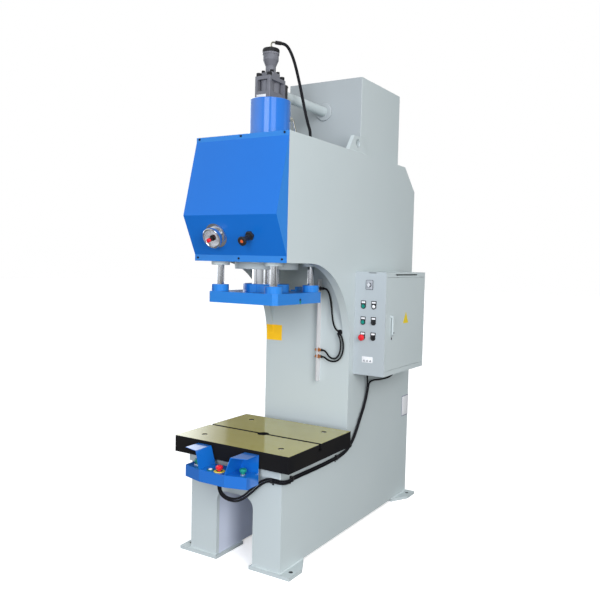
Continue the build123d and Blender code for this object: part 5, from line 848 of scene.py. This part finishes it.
# Controls on the enclosure: black moulded bezels with white legend plates, and coloured caps. The main switch
# turns on a grey plate, in a dark ring.
BOX_FACE = -0.052
BUTTON_X, BUTTON_Z = (0.376, 0.448), (1.446, 1.346, 1.250)
LEGEND_RISE, SWITCH_X, SWITCH_Z, SWITCH_CROWN = 0.0245, 0.415, 1.580, BOX_FACE - 0.0145
green_plastic = new_finish("green_plastic", (0.006, 0.205, 0.160), (0.010, 0.24, 0.19), 0.30, drift=30.0,
                           grain=600.0)
red_plastic = new_finish("red_plastic", RED, (0.62, 0.014, 0.024), 0.28, drift=30.0, grain=600.0)
coat_nodes(green_plastic, "start_button", "run_button", "palm_button_left", "palm_button_right")
coat_nodes(red_plastic, "box_stop_button", "console_stop")
settle(thin_plate("legend_plates", 0.025, 0.0105, 0.0007, 0.001), "frame", white_plastic,
       [stand_at((x, BOX_FACE - 0.0021, z + LEGEND_RISE), "-Y") for x in BUTTON_X for z in BUTTON_Z])
switch_grey = new_finish("switch_grey", (0.36, 0.38, 0.41), (0.32, 0.34, 0.37), 0.45, drift=30.0, grain=500.0)
settle(thin_plate("switch_face", 0.044, 0.056, 0.0008, 0.003), "frame", switch_grey,
       [stand_at((SWITCH_X, BOX_FACE - 0.0041, SWITCH_Z), "-Y")])
ring_grey = new_finish("ring_grey", (0.040, 0.044, 0.052), (0.055, 0.060, 0.070), 0.42, drift=30.0,
                       grain=500.0)
switch_ring = turn_profile("switch_ring", [(0.0115, 0), (0.0140, 0), (0.0140, 0.0016), (0.0132, 0.0022),
                                           (0.0122, 0.0022), (0.0115, 0.0016), (0.0115, 0)])
settle(switch_ring, "frame", ring_grey,
       [stand_at((SWITCH_X, BOX_FACE - 0.0046, SWITCH_Z), "-Y")])
switch_paint = new_finish("switch_paint", (0.045, 0.048, 0.056), (0.060, 0.064, 0.072), 0.4, drift=30.0,
                          grain=500.0)
tree = switch_paint.node_tree
paint_zone(switch_paint, combine(tree, "LESS_THAN", along(tree, "Y"), SWITCH_CROWN), (0.55, 0.57, 0.59))
coat_nodes(switch_paint, "main_switch")

# The three-phase mark on the enclosure is a pale plastic plate with three raised grey teeth, glued on.
# Nothing is written on it.
MARK_Z, TOOTH_X, TOOTH_Z, TOOTH_THICK = 1.1125, (0.3905, 0.4125, 0.4345), 1.1045, 0.0010
mark_grey = new_finish("mark_grey", (0.30, 0.32, 0.34), (0.25, 0.27, 0.29), 0.5, drift=30.0, grain=500.0)
settle(thin_plate("three_tab_plate", 0.075, 0.037, 0.0010, 0.004), "frame", white_plastic,
       [stand_at((TOOTH_X[1], BOX_FACE - 0.0001, MARK_Z), "-Y")])
tooth = add_shape("cylinder", "three_tab_teeth", vertices=3, radius=0.010, depth=TOOTH_THICK,
                  location=(0, 0, TOOTH_THICK / 2))
bpy.ops.object.mode_set(mode="EDIT")
soften_top(tooth, 0.0003)
bpy.ops.object.mode_set(mode="OBJECT")
settle(tooth, "frame", mark_grey,
       [stand_at((x, BOX_FACE - 0.0009, TOOTH_Z), "-Y") for x in TOOTH_X])

# The door's lever handle is painted, with a dark press button let in flush at its lower end. A plated key
# cylinder sits below it.
HANDLE_BUTTON_AT, HANDLE_BUTTON = (0.547, 0.040, 1.283), 0.0062
KEY_AT, KEY_SLOT_AT = (0.5281, 0.040, 1.247), (0.5315, 0.040, 1.247)
handle_enamel = grey_paint("handle_enamel")
tree = handle_enamel.node_tree
place = tree.nodes.new("ShaderNodeTexCoord").outputs["Object"]
from_button = vector_step(tree, "DISTANCE", place, HANDLE_BUTTON_AT)
paint_zone(handle_enamel, combine(tree, "LESS_THAN", from_button, HANDLE_BUTTON), (0.012, 0.016, 0.040))
coat_nodes(handle_enamel, "door_handle")
key_cylinder = turn_profile("key_cylinder", [(0, 0), (0.0085, 0), (0.0085, 0.0025), (0.0075, 0.0035),
                                             (0, 0.0035)], steps=40)
settle(key_cylinder, "door", hard_chrome, [stand_at(KEY_AT, "X")])
settle(thin_plate("key_slot", 0.0016, 0.008, 0.0006, 0.0005), "door", black_plastic,
       [stand_at(KEY_SLOT_AT, "X", math.pi / 2)])

# The console's stop button stands in a yellow ring, its palm buttons on plated rings, and its small button in
# a teal one.
CONSOLE_DECK = 0.575
STOP_AT, SMALL_BUTTON_AT = (0.021, -1.008, CONSOLE_DECK), (-0.034, -1.016, CONSOLE_DECK)
PALM_X, PALM_Y = (0.156, -0.156), -0.977
PALM_RING = [(0.0152, 0), (0.0190, 0), (0.0190, 0.0035), (0.0180, 0.0045), (0.0152, 0.0045), (0.0152, 0)]
yellow_plastic = new_finish("yellow_plastic", (0.70, 0.55, 0.06), (0.65, 0.50, 0.05), 0.35, drift=40.0,
                            grain=500.0)
stop_ring = turn_profile("stop_ring", [(0.0155, 0), (0.0305, 0), (0.0310, 0.001), (0.0290, 0.003),
                                       (0.0155, 0.003), (0.0155, 0)], steps=56)
settle(stop_ring, "frame", yellow_plastic, [stand_at(STOP_AT)])
settle(turn_profile("palm_rings", PALM_RING), "frame", hard_chrome,
       [stand_at((x, PALM_Y, CONSOLE_DECK)) for x in PALM_X])
teal_plastic = new_finish("teal_plastic", (0.006, 0.100, 0.110), (0.010, 0.130, 0.140), 0.3, drift=40.0,
                          grain=500.0)
settle(turn_profile("small_button_ring", PALM_RING), "frame", teal_plastic,
       [stand_at(SMALL_BUTTON_AT)])
coat_nodes(white_plastic, "console_button")

# Two black leads leave the console side by side, hang in a loop under it, and run in clips along the seat's
# edge and up the side plate to the enclosure, where the rear lead goes on to a second gland.
CONSOLE_LEAD = 0.012
FRONT_LEAD = [
    (0.007, -0.98, 0.496), (0.007, -0.98, 0.472), (0.014, -0.975, 0.448), (0.031, -0.966, 0.429),
    (0.055, -0.954, 0.418), (0.084, -0.94, 0.416), (0.111, -0.924, 0.428), (0.138, -0.908, 0.453),
    (0.163, -0.892, 0.481), (0.188, -0.877, 0.507), (0.213, -0.865, 0.526), (0.24, -0.857, 0.535),
    (0.277, -0.856, 0.535), (0.309, -0.858, 0.534), (0.335, -0.843, 0.533), (0.341, -0.812, 0.532),
    (0.333, -0.778, 0.531), (0.326, -0.741, 0.531), (0.325, -0.695, 0.53), (0.324, -0.61, 0.528),
    (0.324, -0.5, 0.526), (0.325, -0.4, 0.527), (0.326, -0.31, 0.529), (0.328, -0.205, 0.534),
    (0.329, -0.127, 0.553), (0.329, -0.062, 0.593), (0.33, -0.017, 0.647), (0.33, 0.025, 0.712),
    (0.331, 0.067, 0.771), (0.333, 0.098, 0.834), (0.337, 0.108, 0.885), (0.339, 0.11, 0.922),
    (0.341, 0.104, 0.948), (0.343, 0.096, 0.97), (0.345, 0.092, 0.986), (0.345, 0.092, 1)]
REAR_LEAD = [
    (-0.007, -0.98, 0.496), (-0.007, -0.98, 0.47), (0.002, -0.975, 0.442), (0.023, -0.966, 0.418),
    (0.051, -0.954, 0.405), (0.087, -0.94, 0.403), (0.119, -0.924, 0.417), (0.148, -0.908, 0.443),
    (0.173, -0.892, 0.471), (0.197, -0.877, 0.497), (0.22, -0.865, 0.514), (0.243, -0.857, 0.522),
    (0.277, -0.856, 0.522), (0.309, -0.858, 0.521), (0.335, -0.843, 0.52), (0.341, -0.812, 0.519),
    (0.333, -0.778, 0.518), (0.326, -0.741, 0.518), (0.325, -0.695, 0.517), (0.324, -0.61, 0.515),
    (0.324, -0.5, 0.513), (0.325, -0.4, 0.514), (0.326, -0.31, 0.516), (0.328, -0.205, 0.521),
    (0.329, -0.122, 0.541), (0.329, -0.054, 0.583), (0.33, -0.007, 0.639), (0.33, 0.035, 0.704),
    (0.331, 0.078, 0.764), (0.333, 0.11, 0.83), (0.337, 0.121, 0.883), (0.339, 0.124, 0.921),
    (0.342, 0.139, 0.94), (0.348, 0.172, 0.947), (0.357, 0.226, 0.944), (0.368, 0.29, 0.942),
    (0.38, 0.346, 0.947), (0.39, 0.386, 0.962), (0.395, 0.404, 0.984), (0.395, 0.404, 1)]
lay_cord("console_line_front", "console_lead_front", FRONT_LEAD, CONSOLE_LEAD)
lay_cord("console_line_rear", "console_lead_rear", REAR_LEAD, CONSOLE_LEAD)

# The power unit inside the column is a foot-mounted motor over a cast bell housing and pump, all sprayed
# in one blue-grey.
motor_paint = new_finish("motor_paint", (0.16, 0.20, 0.25), (0.13, 0.17, 0.22), 0.45, drift=9.0, grain=300.0,
                         bump=0.0004)
coat_nodes(motor_paint, "power_unit")
